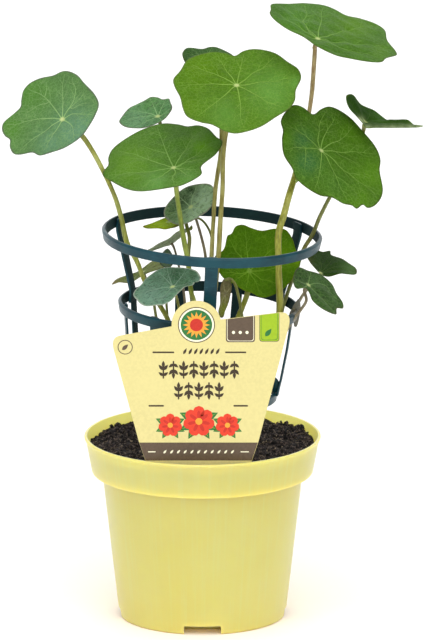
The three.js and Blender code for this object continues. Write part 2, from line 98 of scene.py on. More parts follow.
def pathLength(points):
    return float(np.linalg.norm(np.diff(points, axis=0), axis=1).sum())


def newShape():
    return {"points": [], "faces": [], "finish": [], "values": {}, "count": 0}


# Adds points and faces to a shape. Each value is a number or a vector for every point.
def addPart(shape, points, faces, finish=0, **values):
    points = np.asarray(points, float)
    start = shape["count"]
    shape["points"].append(points)
    shape["faces"] += [[start + corner for corner in face] for face in faces]
    shape["finish"] += [finish] * len(faces) if isinstance(finish, int) else list(finish)
    for key, numbers in values.items():
        shape["values"].setdefault(key, []).append((start, np.asarray(numbers, float)))
    shape["count"] += len(points)


def makePiece(name, shape, finishes, sharpAngle=None):
    mesh = bpy.data.meshes.new(name)
    points = np.vstack(shape["points"]) * mm
    mesh.from_pydata(points.tolist(), [], shape["faces"])
    for finish in finishes:
        mesh.materials.append(finish)
    mesh.polygons.foreach_set("material_index", shape["finish"])
    mesh.polygons.foreach_set("use_smooth", [True] * len(mesh.polygons))
    for key, parts in shape["values"].items():
        isVector = parts[0][1].ndim == 2
        numbers = np.zeros((shape["count"], 3) if isVector else shape["count"])
        for start, part in parts:
            numbers[start:start + len(part)] = part
        layer = mesh.attributes.new(key, "FLOAT_VECTOR" if isVector else "FLOAT", "POINT")
        layer.data.foreach_set("vector" if isVector else "value", numbers.ravel().astype(np.float32))
    mesh.update()
    if sharpAngle:
        mesh.set_sharp_from_angle(angle=math.radians(sharpAngle))
    piece = bpy.data.objects.new(name, mesh)
    bpy.context.scene.collection.objects.link(piece)
    return piece


# A closed skin over a stack of rings, with a point at each end. Without the points it joins up with itself.
def stackRings(rings, start=None, end=None, flip=False):
    rings = np.asarray(rings, float)
    rows, columns = rings.shape[:2]
    points = list(rings.reshape(-1, 3))
    index = np.arange(rows * columns).reshape(rows, columns)
    following = np.roll(index, -1, axis=1)
    lower = np.arange(rows if start is None else rows - 1)
    upper = (lower + 1) % rows
    corners = [index[lower], index[upper], following[upper], following[lower]]
    faces = np.stack(corners, axis=-1).reshape(-1, 4).tolist()
    if start is not None:
        points += [np.asarray(start, float), np.asarray(end, float)]
        first = rows * columns
        faces += [[first, index[0, k], following[0, k]] for k in range(columns)]
        faces += [[first + 1, following[-1, k], index[-1, k]] for k in range(columns)]
    if flip:
        faces = [face[::-1] for face in faces]
    return np.array(points), faces


# Rings of a section turned about the Z axis: the profile lists [radius, height].
def turnedRings(profile, segments):
    turns = np.arange(segments) * 2 * math.pi / segments
    profile = np.asarray(profile, float)
    return np.stack([
        profile[:, :1] * np.cos(turns), profile[:, :1] * np.sin(turns),
        np.repeat(profile[:, 1:], segments, axis=1),
    ], axis=-1)


# Rings of a round rod along a path, with rounded ends, and the two points that close it.
def rodRings(path, radii, sides):
    path = np.asarray(path, float)
    radii = np.broadcast_to(radii, len(path)).astype(float)
    tangent = unit(np.gradient(path, axis=0))
    capTurns = np.radians([15, 45, 70])
    head = [(path[0] - tangent[0] * radii[0] * math.sin(t), radii[0] * math.cos(t)) for t in capTurns[::-1]]
    tail = [(path[-1] + tangent[-1] * radii[-1] * math.sin(t), radii[-1] * math.cos(t)) for t in capTurns]
    centres = np.array([c for c, r in head] + list(path) + [c for c, r in tail])
    widths = np.array([r for c, r in head] + list(radii) + [r for c, r in tail])
    tangents = np.vstack([[tangent[0]] * len(head), tangent, [tangent[-1]] * len(tail)])
    side = np.array([1.0, 0.1, 0.0])
    turns = np.arange(sides) * 2 * math.pi / sides
    rings = []
    for centre, width, ahead in zip(centres, widths, tangents):
        side = unit(side - ahead * (side @ ahead))
        other = np.cross(ahead, side)
        rings.append(centre + width * (np.cos(turns)[:, None] * side + np.sin(turns)[:, None] * other))
    ends = path[0] - tangent[0] * radii[0], path[-1] + tangent[-1] * radii[-1]
    return np.array(rings), ends


# The skin of a plate over rings that run from its front to its back, with one flat face on each.
def plateSkin(rings):
    rows, count = rings.shape[:2]
    faces = []
    for row in range(rows - 1):
        low, high = row * count, (row + 1) * count
        faces += [[low + k, high + k, high + (k + 1) % count, low + (k + 1) % count] for k in range(count)]
    faces += [list(range(count)), list(range(rows * count - 1, (rows - 1) * count - 1, -1))]
    return rings.reshape(-1, 3), faces


def roundedRectangle(width, height, radius, steps=3):
    corners = []
    for turn, (sideX, sideZ) in enumerate([(1, 1), (-1, 1), (-1, -1), (1, -1)]):
        centre = np.array([sideX * (width / 2 - radius), sideZ * (height / 2 - radius)])
        for step in range(steps + 1):
            angle = math.pi / 2 * (turn + step / steps)
            corners.append(centre + radius * np.array([math.cos(angle), math.sin(angle)]))
    return np.array(corners)


# A finished piece: every one is on the one body, and takes the place of the nodes named.
def settle(piece, slot, *nodes):
    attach(piece, "root")
    if nodes:
        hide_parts(*nodes)


# A colour of 0 to 255 as the numbers a shader takes.
def paint(red, green, blue):
    return tuple((part / 255 / 12.92 if part < 11 else ((part / 255 + 0.055) / 1.055) ** 2.4)
                 for part in (red, green, blue)) + (1.0,)


def addNode(tree, kind, inputs=None, **settings):
    node = tree.nodes.new(kind)
    for key, value in settings.items():
        setattr(node, key, value)
    for key, value in (inputs or {}).items():
        if isinstance(value, bpy.types.NodeSocket):
            tree.links.new(value, node.inputs[key])
        else:
            node.inputs[key].default_value = value
    return node


def startMaterial(name, **surface):
    material = bpy.data.materials.new(name)
    material.use_nodes = True
    tree = material.node_tree
    tree.nodes.clear()
    shader = addNode(tree, "ShaderNodeBsdfPrincipled", surface)
    output = addNode(tree, "ShaderNodeOutputMaterial")
    tree.links.new(shader.outputs[0], output.inputs[0])
    return material, tree, shader


def mixed(tree, share, first, second):
    return addNode(tree, "ShaderNodeMix", {0: share, 6: first, 7: second}, data_type="RGBA").outputs[2]


def calc(tree, operation, first, second=0.0, clamp=False):
    inputs = {0: first, 1: second}
    return addNode(tree, "ShaderNodeMath", inputs, operation=operation, use_clamp=clamp).outputs[0]


def remap(tree, value, low, high, toLow=0.0, toHigh=1.0):
    inputs = {0: value, 1: low, 2: high, 3: toLow, 4: toHigh}
    return addNode(tree, "ShaderNodeMapRange", inputs, interpolation_type="SMOOTHSTEP").outputs[0]


def cloudy(tree, place, scale, detail=2.0, roughness=0.5, distortion=0.0):
    return addNode(tree, "ShaderNodeTexNoise", {
        "Vector": place, "Scale": scale, "Detail": detail, "Roughness": roughness,
        "Distortion": distortion}).outputs["Fac"]


def storedValue(tree, name):
    return addNode(tree, "ShaderNodeAttribute", attribute_name=name).outputs["Fac"]


def storedPlace(tree, name):
    return addNode(tree, "ShaderNodeAttribute", attribute_name=name).outputs["Vector"]


def objectPlace(tree, scale=(1, 1, 1)):
    place = addNode(tree, "ShaderNodeTexCoord").outputs["Object"]
    return addNode(tree, "ShaderNodeMapping", {"Vector": place, "Scale": scale}).outputs[0]


def coat(tree, shader, colour, rough):
    tree.links.new(colour, shader.inputs["Base Color"])
    tree.links.new(rough, shader.inputs["Roughness"])


def relief(tree, shader, height, strength, distance):
    bump = addNode(tree, "ShaderNodeBump", {
        "Height": height, "Strength": strength, "Distance": distance * mm})
    tree.links.new(bump.outputs[0], shader.inputs["Normal"])


studio = {
    "lens": 700, "sensor": 36, "imageHeight": 640, "lookAt": (10, 294.5), "clipStart": 0.1,
    "floorColour": (253, 253, 252), "floorSize": 60, "skyStrength": 0.53,
    # how strong each sun is and, in degrees, how wide, how far round and how high
    "suns": {"keyLight": (1.7, 70, -2, 66), "fillLight": (0.9, 60, 20, 18), "backLight": (1.3, 90, 180, 18)},
    "stripEnergy": 1.3, "stripPlace": (-0.75, -0.75, 0.35), "stripTarget": (0, 0, 0.1),
    "stripSize": (0.16, 0.9),
}


def addCamera():
    data = bpy.data.cameras.new("viewCamera")
    data.lens = studio["lens"]
    data.sensor_width = studio["sensor"]
    camera = bpy.data.objects.new("viewCamera", data)
    bpy.context.scene.collection.objects.link(camera)
    seen = studio["imageHeight"] * gridStep * mm
    distance = seen * studio["lens"] / studio["sensor"]
    target = gridPoint(*studio["lookAt"], 0) * mm
    camera.location = target - sightLine * distance
    camera.rotation_euler = (math.pi / 2 - viewTilt, 0, 0)
    data.clip_start = studio["clipStart"]
    data.clip_end = distance * 4
    bpy.context.scene.camera = camera


def addFloor():
    half = studio["floorSize"] / 2
    mesh = bpy.data.meshes.new("floor")
    corners = [(-half, -half, 0), (half, -half, 0), (half, half, 0), (-half, half, 0)]
    mesh.from_pydata(corners, [], [(0, 1, 2, 3)])
    material, tree, shader = startMaterial("floorPaper", **{"Roughness": 0.9, "Specular IOR Level": 0.1})
    shader.inputs["Base Color"].default_value = paint(*studio["floorColour"])
    mesh.materials.append(material)
    floor = bpy.data.objects.new("floor", mesh)
    bpy.context.scene.collection.objects.link(floor)


def addSun(name, strength, width, turn, height):
    data = bpy.data.lights.new(name, "SUN")
    data.energy = strength
    data.angle = math.radians(width)
    light = bpy.data.objects.new(name, data)
    light.rotation_euler = (math.radians(90 - height), 0, math.radians(turn))
    bpy.context.scene.collection.objects.link(light)


# The tall panel that gives the pot its upright highlight.
def addStrip():
    data = bpy.data.lights.new("stripLight", "AREA")
    data.shape = "RECTANGLE"
    data.size, data.size_y = studio["stripSize"]
    data.energy = studio["stripEnergy"]
    light = bpy.data.objects.new("stripLight", data)
    light.location = studio["stripPlace"]
    ahead = Vector(studio["stripTarget"]) - Vector(studio["stripPlace"])
    light.rotation_euler = ahead.to_track_quat("-Z", "Y").to_euler()
    bpy.context.scene.collection.objects.link(light)


def addLight():
    world = bpy.data.worlds.new("studioSky")
    world.use_nodes = True
    background = world.node_tree.nodes["Background"]
    background.inputs[0].default_value = (1, 1, 1, 1)
    background.inputs[1].default_value = studio["skyStrength"]
    bpy.context.scene.world = world
    for name, sun in studio["suns"].items():
        addSun(name, *sun)
    addStrip()
    bpy.context.scene.view_settings.view_transform = "Standard"


addCamera()
addFloor()
addLight()
print("camera, floor and light made")

pot = {
    "rimRadius": 60, "height": 94, "collarHeight": 18.8, "wall": 1.3, "baseRadius": 42.3, "waistRadius": 51,
    "floor": 1.6, "drainWidth": 18.7, "drainHeight": 4.7, "drainDepth": 11.5, "drainRound": 0.6,
    "holeRadius": 2.4, "holeInset": 6.5, "holeApart": 10, "holeLow": 2, "holeHigh": 12, "segments": 192,
    "colour": (254, 214, 112), "deepColour": (251, 208, 101), "paintedGlowColour": (255, 238, 150),
    "paleColour": (244, 236, 168), "scuffColour": (214, 196, 108), "smoothest": 0.3, "roughest": 0.4,
}
collarFoot = pot["height"] - pot["collarHeight"]
collarFootRadius = pot["rimRadius"] - 3.8


# How far a face looks away from the upright axis: below nothing, it looks inwards.
def facingOut(tree, place):
    flat = addNode(tree, "ShaderNodeVectorMath", {0: place, 1: (1, 1, 0)}, operation="MULTIPLY").outputs[0]
    normal = addNode(tree, "ShaderNodeNewGeometry").outputs["True Normal"]
    towards = addNode(tree, "ShaderNodeVectorMath", {0: normal, 1: flat}, operation="DOT_PRODUCT")
    return towards.outputs["Value"]


def makePotPlastic():
    material, tree, shader = startMaterial("potPlastic", **{
        "Specular IOR Level": 0.5, "Coat Weight": 0.12, "Coat Roughness": 0.25,
        "Subsurface Weight": 0.86, "Subsurface Radius": (0.012, 0.0094, 0.0042), "Subsurface Scale": 1.0})
    place = objectPlace(tree)
    parts = addNode(tree, "ShaderNodeSeparateXYZ", {0: place})
    turn = calc(tree, "ARCTAN2", parts.outputs[1], parts.outputs[0])
    wrapped = addNode(tree, "ShaderNodeCombineXYZ", {  # long upright streaks round the pot
        0: calc(tree, "MULTIPLY", calc(tree, "SINE", turn), 9.0),
        1: calc(tree, "MULTIPLY", calc(tree, "COSINE", turn), 9.0),
        2: calc(tree, "MULTIPLY", parts.outputs[2], 5.0)}).outputs[0]
    streaks = cloudy(tree, wrapped, 3.0, 4.0, 0.6)
    clouds = cloudy(tree, place, 22.0, 3.0)
    grain = cloudy(tree, place, 900.0, 2.0)
    tint = mixed(tree, remap(tree, clouds, 0.3, 0.7), paint(*pot["deepColour"]), paint(*pot["colour"]))
    pale = mixed(tree, remap(tree, streaks, 0.45, 0.75, 0.0, 0.14), tint, paint(*pot["paleColour"]))
    scuffs = remap(tree, cloudy(tree, place, 160.0, 5.0, 0.7), 0.66, 0.76, 0.0, 0.18)
    layeredTone = mixed(tree, scuffs, pale, paint(*pot["scuffColour"]))
    # painted light: faces that look inwards are mixed towards a paler, brighter yellow, standing in for light
    # that comes through the thin plastic
    glowing = remap(tree, facingOut(tree, place), -0.008, 0.0, 1.0, 0.0)
    lit = mixed(tree, glowing, layeredTone, paint(*pot["paintedGlowColour"]))
    rough = remap(tree, streaks, 0.3, 0.7, pot["smoothest"], pot["roughest"])
    coat(tree, shader, lit, calc(tree, "ADD", rough, calc(tree, "MULTIPLY", scuffs, 0.6)))
    height = calc(tree, "ADD", calc(tree, "MULTIPLY", streaks, 0.7), calc(tree, "MULTIPLY", grain, 0.12))
    relief(tree, shader, height, 0.35, 0.12)
    return material


# The piece as its modifiers leave it, as a plain mesh.
def applied(piece, *removed):
    settled = bpy.data.meshes.new_from_object(piece.evaluated_get(bpy.context.evaluated_depsgraph_get()))
    for other in removed:
        bpy.data.objects.remove(other)
    piece.modifiers.clear()
    piece.data = settled
    return piece


def combine(piece, other, operation):
    cutter = piece.modifiers.new("cutter", "BOOLEAN")
    cutter.object = other
    cutter.operation = operation
    cutter.solver = "MANIFOLD"
    bpy.context.view_layer.update()
    return applied(piece, other)


# A block with rounded top corners for each of the four drain pockets, larger all round by a margin.
def drainBlocks(name, margin, bottom):
    shape = newShape()
    inner = pot["baseRadius"] - pot["drainDepth"] - margin
    half = pot["drainWidth"] / 2 + margin
    top = pot["drainHeight"] + margin
    bend = pot["drainRound"] + margin
    arch = [(half, bottom)]
    for sideX, first in ((1, 0), (-1, 90)):
        for step in range(7):
            angle = math.radians(first + 15 * step)
            arch.append((sideX * (half - bend) + bend * math.cos(angle), top - bend + bend * math.sin(angle)))
    arch.append((-half, bottom))
    for quarter in range(4):
        cos, sin = math.cos(quarter * math.pi / 2), math.sin(quarter * math.pi / 2)
        ends = []
        for out in (inner, pot["rimRadius"]):
            ends.append([(out * cos - across * sin, out * sin + across * cos, up) for across, up in arch])
        points, faces = plateSkin(np.array(ends))
        addPart(shape, points, [face[::-1] for face in faces])
    return makePiece(name, shape, [])


# Two holes through the floor over each drain pocket.
def drainHoles():
    shape = newShape()
    low, high = pot["holeLow"], pot["holeHigh"]
    out = pot["baseRadius"] - pot["holeInset"]
    for quarter in range(4):
        cos, sin = math.cos(quarter * math.pi / 2), math.sin(quarter * math.pi / 2)
        for across in (-pot["holeApart"] / 2, pot["holeApart"] / 2):
            rings = turnedRings([[pot["holeRadius"], low], [pot["holeRadius"], high]], 24)
            rings += np.array([out * cos - across * sin, out * sin + across * cos, 0])
            centre = rings[0].mean(axis=0)
            addPart(shape, *stackRings(rings, centre, centre + [0, 0, high - low], flip=True))
    return makePiece("drainHoles", shape, [])


def arcPoints(centreRadius, centreHeight, radius, first, last, steps=6):
    turns = np.radians(np.linspace(first, last, steps))
    return [[centreRadius + radius * math.cos(t), centreHeight + radius * math.sin(t)] for t in turns]


def makePot():
    rim, top, wall = pot["rimRadius"], pot["height"], pot["wall"]
    # the outer face from the middle of the foot up to the lip
    outside = [[12, 0], [30, 0]] + arcPoints(pot["baseRadius"] - 1.3, 1.3, 1.3, -90, 0)
    slope = (pot["waistRadius"] - pot["baseRadius"]) / collarFoot
    outside += [[pot["baseRadius"] + slope * height, height] for height in (4, 12, 24, 36, 48, 60, 70)]
    outside += [[pot["waistRadius"] - 0.15, collarFoot - 1.2]]
    outside += arcPoints(pot["waistRadius"] + 0.9, collarFoot - 0.9, 0.9, 180, 90, 5)[1:]
    outside += arcPoints(collarFootRadius - 0.6, collarFoot + 0.6, 0.6, -90, 0)
    band = pot["collarHeight"] - 2.9
    for share in (0.25, 0.5, 0.75, 1):
        outside.append([collarFootRadius + 3.0 * share, collarFoot + 0.6 + band * share])
    outside += [[rim - 0.45, top - 2.15]] + arcPoints(rim - 0.7, top - 0.9, 0.7, -40, 95, 9)
    # and the inner face from the middle of the floor up
    inside = [[12, pot["floor"]], [30, pot["floor"]]]
    inside += arcPoints(pot["baseRadius"] - 2.9, pot["floor"] + 1.6, 1.6, -90, -8)
    inside += [[pot["waistRadius"] - wall, collarFoot + 0.9]]
    inside += arcPoints(collarFootRadius - wall - 1.0, collarFoot + 2.4, 0.9, -90, 0)
    inside += [[rim - wall - 0.35, top - 1.2], [rim - wall - 0.1, top - 0.25]]
    segments = pot["segments"]
    shape = newShape()
    rings = turnedRings(outside + inside[::-1], segments)
    addPart(shape, *stackRings(rings, [0, 0, 0], [0, 0, pot["floor"]], flip=True))
    piece = makePiece("pot_body", shape, [])
    envelope = newShape()
    addPart(envelope, *stackRings(turnedRings(outside, segments), [0, 0, 0], [0, 0, top], flip=True))
    linings = combine(drainBlocks("linings", 1.4, 0), makePiece("envelope", envelope, []), "INTERSECT")
    piece = combine(piece, linings, "UNION")
    piece = combine(piece, drainBlocks("pockets", 0, -5), "DIFFERENCE")
    piece = combine(piece, drainHoles(), "DIFFERENCE")
    mesh = piece.data
    mesh.materials.clear()
    mesh.materials.append(makePotPlastic())
    mesh.polygons.foreach_set("use_smooth", [True] * len(mesh.polygons))
    mesh.set_sharp_from_angle(angle=math.radians(34))
    mesh.update()
    settle(piece, "pot_plastic", "pot")


makePot()
print("pot made")

soil = {
    "level": 88.9, "rings": 92, "columns": 300, "sheetRings": 36, "sheetColumns": 96,
    "lumps": 2.1, "lumpSize": 7, "grit": 0.6, "gritSize": 1.6,
    # across, back, height and spread
    "hollows": ((42, 12, -1.6, 60), (37.5, 41, -2.6, 22)), "heaps": ((45, 27, 2.4, 60), (30, 44, 1.2, 30)),
    "crumbs": {"spacing": 2.5 * mm, "size": 1.9 * mm, "smallest": 0.3, "lean": math.pi, "bend": 2.4 * mm,
               "bendScale": 520.0, "seed": 4},
    "grains": {"spacing": 1.7 * mm, "size": 0.75 * mm, "smallest": 0.4, "lean": math.pi, "bend": 1.0 * mm,
               "bendScale": 520.0, "seed": 11},
    "fibres": {"spacing": 3.6 * mm, "size": 6.0 * mm, "smallest": 0.3, "lean": 1.75, "bend": 3.2 * mm,
               "bendScale": 140.0, "seed": 7},
}


def mound(x, y, across, back, height, spread):
    return height * math.exp(-((x - across) ** 2 + (y - back) ** 2) / spread)


def soilWave(x, y):
    swell = 0.9 * math.sin(0.21 * x + 0.5) * math.cos(0.17 * y)
    ripple = 0.7 * math.sin(0.37 * y - 0.29 * x)
    hollow = sum(mound(x, y, *place) for place in soil["hollows"])
    heap = sum(mound(x, y, *place) for place in soil["heaps"])
    return soil["level"] + swell + ripple + hollow + heap


def soilLump(x, y):
    size = soil["lumpSize"]
    return soil["lumps"] * noise.fractal(Vector((x / size, y / size, 3.1)), 1.0, 2.1, 4)


def soilGrit(x, y):
    size = soil["gritSize"]
    return soil["grit"] * noise.fractal(Vector((x / size, y / size, 8.7)), 0.8, 2.0, 2)


def makePeat():
    material, tree, shader = startMaterial("peat", **{"Specular IOR Level": 0.25})
    place = objectPlace(tree)
    broad = cloudy(tree, place, 90.0, 4.0, 0.6)
    fine = cloudy(tree, place, 700.0, 5.0, 0.7)
    flecks = cloudy(tree, place, 420.0, 1.0)
    clumps = cloudy(tree, place, 300.0, 3.0, 0.6)
    dark = mixed(tree, remap(tree, broad, 0.35, 0.65), paint(14, 13, 14), paint(54, 48, 49))
    dark = mixed(tree, remap(tree, clumps, 0.4, 0.62, 0.75, 0.0), dark, paint(10, 9, 9))
    brown = mixed(tree, remap(tree, fine, 0.48, 0.66, 0.0, 0.85), dark, paint(118, 104, 96))
    pale = mixed(tree, remap(tree, flecks, 0.68, 0.74, 0.0, 0.8), brown, paint(158, 142, 120))
    coat(tree, shader, pale, remap(tree, fine, 0.3, 0.7, 0.8, 1.0))
    relief(tree, shader, calc(tree, "ADD", fine, broad), 0.9, 0.7)
    return material


def makeFibre():
    material, tree, shader = startMaterial("peatFibre", **{"Specular IOR Level": 0.2})
    place = objectPlace(tree)
    clouds = remap(tree, cloudy(tree, place, 260.0, 3.0), 0.35, 0.65)
    colour = mixed(tree, clouds, paint(48, 41, 36), paint(128, 112, 94))
    coat(tree, shader, colour, remap(tree, cloudy(tree, place, 900.0), 0.3, 0.7, 0.75, 1.0))
    return material


# How far the pot's inner face is from its axis at a height.
def innerRadius(height):
    wall = pot["wall"]
    low, high = (pot["baseRadius"] - wall, 2.4), (pot["waistRadius"] - wall, collarFoot + 1.5)
    if height > high[1]:
        low, high = (collarFootRadius - wall, collarFoot + 1.7), (pot["rimRadius"] - wall, pot["height"])
    return low[0] + (high[0] - low[0]) * (height - low[1]) / (high[1] - low[1])


def makeSoil(peat):
    edge = innerRadius(soil["level"]) - 0.25
    columns = soil["columns"]
    turns = np.arange(columns) * 2 * math.pi / columns
    step = collarFoot + 2.6
    sides = [[20, 2.0], [38.5, 2.0], [40.3, 4.0], [innerRadius(30) - 0.3, 30], [innerRadius(60) - 0.3, 60],
             [pot["waistRadius"] - pot["wall"] - 0.35, collarFoot + 2.2], [innerRadius(step) - 0.4, step],
             [innerRadius(84) - 0.3, 84]]
    rings = list(turnedRings(sides, columns))
    for share in np.linspace(1, 0.01, soil["rings"]):
        radius = edge * share
        ring = []
        for turn in turns:
            x, y = radius * math.cos(turn), radius * math.sin(turn)
            fade = min(1, (1 - share) * 12)
            ring.append([x, y, soilWave(x, y) + fade * (soilLump(x, y) + soilGrit(x, y)) - 0.4 * (1 - fade)])
        rings.append(ring)
    shape = newShape()
    addPart(shape, *stackRings(rings, [0, 0, 2.0], [0, 0, soilWave(0, 0)], flip=True))
    piece = combine(makePiece("soil_bed", shape, [peat]), drainBlocks("clearance", 1.8, -5), "DIFFERENCE")
    piece.data.materials.clear()
    piece.data.materials.append(peat)
    piece.data.polygons.foreach_set("use_smooth", [True] * len(piece.data.polygons))
    piece.data.update()
    settle(piece, "peat", "soil")


# A named input of a tree, as the identifier that a modifier knows it by.
def addInput(tree, name, kind, value=None):
    socket = tree.interface.new_socket(name=name, in_out="INPUT", socket_type=kind)
    if value is not None:
        socket.default_value = value
    return socket.identifier


# Scatters one small mesh over a surface, turned and scaled at random and then bent by noise.
def scatterTree(name, grain):
    tree = bpy.data.node_groups.new(name, "GeometryNodeTree")
    tree.interface.new_socket(name="Geometry", in_out="INPUT", socket_type="NodeSocketGeometry")
    idents = {
        "spacing": addInput(tree, "Spacing", "NodeSocketFloat", 0.002),
        "size": addInput(tree, "Size", "NodeSocketFloat", 0.001),
        "smallest": addInput(tree, "Smallest scale", "NodeSocketFloat", 0.3),
        "lean": addInput(tree, "Largest lean", "NodeSocketFloat", math.pi),
        "bend": addInput(tree, "Bend", "NodeSocketFloat", 0.001),
        "bendScale": addInput(tree, "Bend scale", "NodeSocketFloat", 300.0),
        "seed": addInput(tree, "Seed", "NodeSocketInt", 1),
        "finish": addInput(tree, "Finish", "NodeSocketMaterial"),
    }
    tree.interface.new_socket(name="Geometry", in_out="OUTPUT", socket_type="NodeSocketGeometry")
    source = addNode(tree, "NodeGroupInput").outputs
    spread = addNode(tree, "GeometryNodeDistributePointsOnFaces", distribute_method="POISSON", inputs={
        "Mesh": source["Geometry"], "Distance Min": source["Spacing"], "Density Max": 900000.0,
        "Seed": source["Seed"]})
    if grain == "crumb":
        leastLean = 0.0
        seedMesh = addNode(tree, "GeometryNodeMeshIcoSphere", {"Radius": source["Size"], "Subdivisions": 2})
    else:
        leastLean = 1.05
        thin = calc(tree, "MULTIPLY", source["Size"], 0.035)
        seedMesh = addNode(tree, "GeometryNodeMeshCylinder", fill_type="TRIANGLE_FAN", inputs={
            "Vertices": 5, "Side Segments": 7, "Radius": thin, "Depth": source["Size"]})
    least = addNode(tree, "ShaderNodeCombineXYZ", {0: leastLean, 1: 0.0, 2: 0.0}).outputs[0]
    most = addNode(tree, "ShaderNodeCombineXYZ", {
        0: source["Largest lean"], 1: source["Largest lean"], 2: 6.283}).outputs[0]
    turn = addNode(tree, "FunctionNodeRandomValue", data_type="FLOAT_VECTOR")
    tree.links.new(least, turn.inputs[0])
    tree.links.new(most, turn.inputs[1])
    tree.links.new(source["Seed"], turn.inputs["Seed"])
    scale = addNode(tree, "FunctionNodeRandomValue", data_type="FLOAT")
    tree.links.new(source["Smallest scale"], scale.inputs[2])
    scale.inputs[3].default_value = 1.0
    tree.links.new(source["Seed"], scale.inputs["Seed"])
    shrunk = calc(tree, "POWER", scale.outputs[1], 1.6)
    placed = addNode(tree, "GeometryNodeInstanceOnPoints", {
        "Points": spread.outputs["Points"], "Instance": seedMesh.outputs["Mesh"],
        "Rotation": turn.outputs[0], "Scale": shrunk})
    real = addNode(tree, "GeometryNodeRealizeInstances", {"Geometry": placed.outputs[0]})
    place = addNode(tree, "GeometryNodeInputPosition").outputs[0]
    rough = addNode(tree, "ShaderNodeTexNoise", {
        "Vector": place, "Scale": source["Bend scale"], "Detail": 2.0}).outputs["Color"]
    centred = addNode(tree, "ShaderNodeVectorMath", {0: rough, 1: (0.5, 0.5, 0.5)}, operation="SUBTRACT")
    push = addNode(tree, "ShaderNodeVectorMath", operation="SCALE", inputs={
        0: centred.outputs[0], "Scale": source["Bend"]})
    bent = addNode(tree, "GeometryNodeSetPosition", {"Geometry": real.outputs[0], "Offset": push.outputs[0]})
    coated = addNode(tree, "GeometryNodeSetMaterial", {
        "Geometry": bent.outputs[0], "Material": source["Finish"]})
    addNode(tree, "NodeGroupOutput", {0: coated.outputs[0]})
    return tree, idents


# The bed's upper surface, as an open sheet that crumbs are scattered over.
def soilSheet(edge, lift):
    rows, count = soil["sheetRings"], soil["sheetColumns"]
    points = []
    for share in np.linspace(1, 0.02, rows):
        for turn in np.arange(count) * 2 * math.pi / count:
            x, y = edge * share * math.cos(turn), edge * share * math.sin(turn)
            points.append([x, y, soilWave(x, y) + soilLump(x, y) + lift])
    faces = []
    for row in range(rows - 1):
        low, high = row * count, (row + 1) * count
        faces += [[low + k, low + (k + 1) % count, high + (k + 1) % count, high + k] for k in range(count)]
    shape = newShape()
    addPart(shape, points, faces)
    return makePiece("soilSheet", shape, [])


def scatterOver(name, tree, idents, sheet, values):
    sheet.name = name
    modifier = sheet.modifiers.new("scatter", "NODES")
    modifier.node_group = tree
    for key, value in values.items():
        modifier[idents[key]] = value
    sheet.update_tag()
    bpy.context.view_layer.update()
    piece = applied(sheet)
    settle(piece, "peat")
    print(name, len(piece.data.polygons), "faces")


def makeCrumbs(peat, fibre):
    edge = innerRadius(soil["level"]) - 1.6
    crumbs = scatterTree("crumbScatter", "crumb")
    scatterOver("soil_crumbs", *crumbs, soilSheet(edge, 0.1), {**soil["crumbs"], "finish": peat})
    scatterOver("soil_grit", *crumbs, soilSheet(edge + 0.8, 0.0), {**soil["grains"], "finish": peat})
    fibres = scatterTree("fibreScatter", "fibre")
    scatterOver("soil_fibres", *fibres, soilSheet(edge - 3.0, 0.5), {**soil["fibres"], "finish": fibre})


peatFinish = makePeat()
makeSoil(peatFinish)
makeCrumbs(peatFinish, makeFibre())
print("soil made")

label = {
    "plane": -50, "thickness": 0.6, "lean": 1.0, "foot": 86, "stakeMiddle": -2, "stakeWidth": 16,
    "crown": (-3, 164.5), "crownRadius": 12.5, "topEdge": ((9.2, 167.2), (38.5, 170.9)), "inkRise": 0.035,
    "paper": (218, 206, 139), "brown": (92, 75, 58), "ink": (58, 44, 24), "green": (152, 184, 16),
    "cream": (250, 246, 214), "petal": (222, 58, 30), "petalTwo": (196, 40, 22), "heart": (240, 160, 50),
    "leaf": (36, 112, 50), "flecks": {"paper": 0.05, "brown": 0.12, "cream": 0.03},
}


# A place on the label's face, and how far it lies behind the face's middle plane.
def labelPoint(x, z, height):
    lean = math.radians(label["lean"])
    up = z - pot["height"]
    return [x, label["plane"] + height * math.cos(lean) - up * math.sin(lean),
            pot["height"] + height * math.sin(lean) + up * math.cos(lean)]


def quadCurve(start, control, end, steps=8):
    t = np.linspace(0, 1, steps + 1)[1:, None]
    return list((1 - t) ** 2 * np.array(start) + 2 * t * (1 - t) * np.array(control) + t ** 2 * np.array(end))


def labelOutline():
    (crownX, crownZ), radius = label["crown"], label["crownRadius"]
    points = [(22.4, label["foot"]), (28.3, 103.9), (43.6, 164.5)]
    points += quadCurve((43.6, 164.5), (44.8, 171.6), label["topEdge"][1])
    points += [label["topEdge"][0]]
    points += [(crownX + radius * math.cos(t), crownZ + radius * math.sin(t))
               for t in np.radians(np.linspace(12.7, 184, 48))]
    points += [(-41.5, 158.8)]
    points += quadCurve((-41.5, 158.8), (-46.2, 157.8), (-44.6, 151.5))
    points += [(-32.1, 103.9), (-28, 91.2), (-25.2, label["foot"])]
    return np.array([tuple(point) for point in points])


# The outline moved inwards by a margin. It runs anticlockwise.
def inset(outline, margin):
    before = unit(outline - np.roll(outline, 1, axis=0))
    after = unit(np.roll(outline, -1, axis=0) - outline)
    inward = unit(np.column_stack([-(before + after)[:, 1], (before + after)[:, 0]]))
    return outline + inward * margin


def addPlate(shape, outline, front, back, bevel, finish):
    layers = [(outline, front), (outline, back)]
    if bevel:
        slim = inset(outline, bevel)
        layers = [(slim, front), (outline, front + bevel), (outline, back - bevel), (slim, back)]
    rings = np.array([[labelPoint(x, z, height) for x, z in edge] for edge, height in layers])
    addPart(shape, *plateSkin(rings), finish)


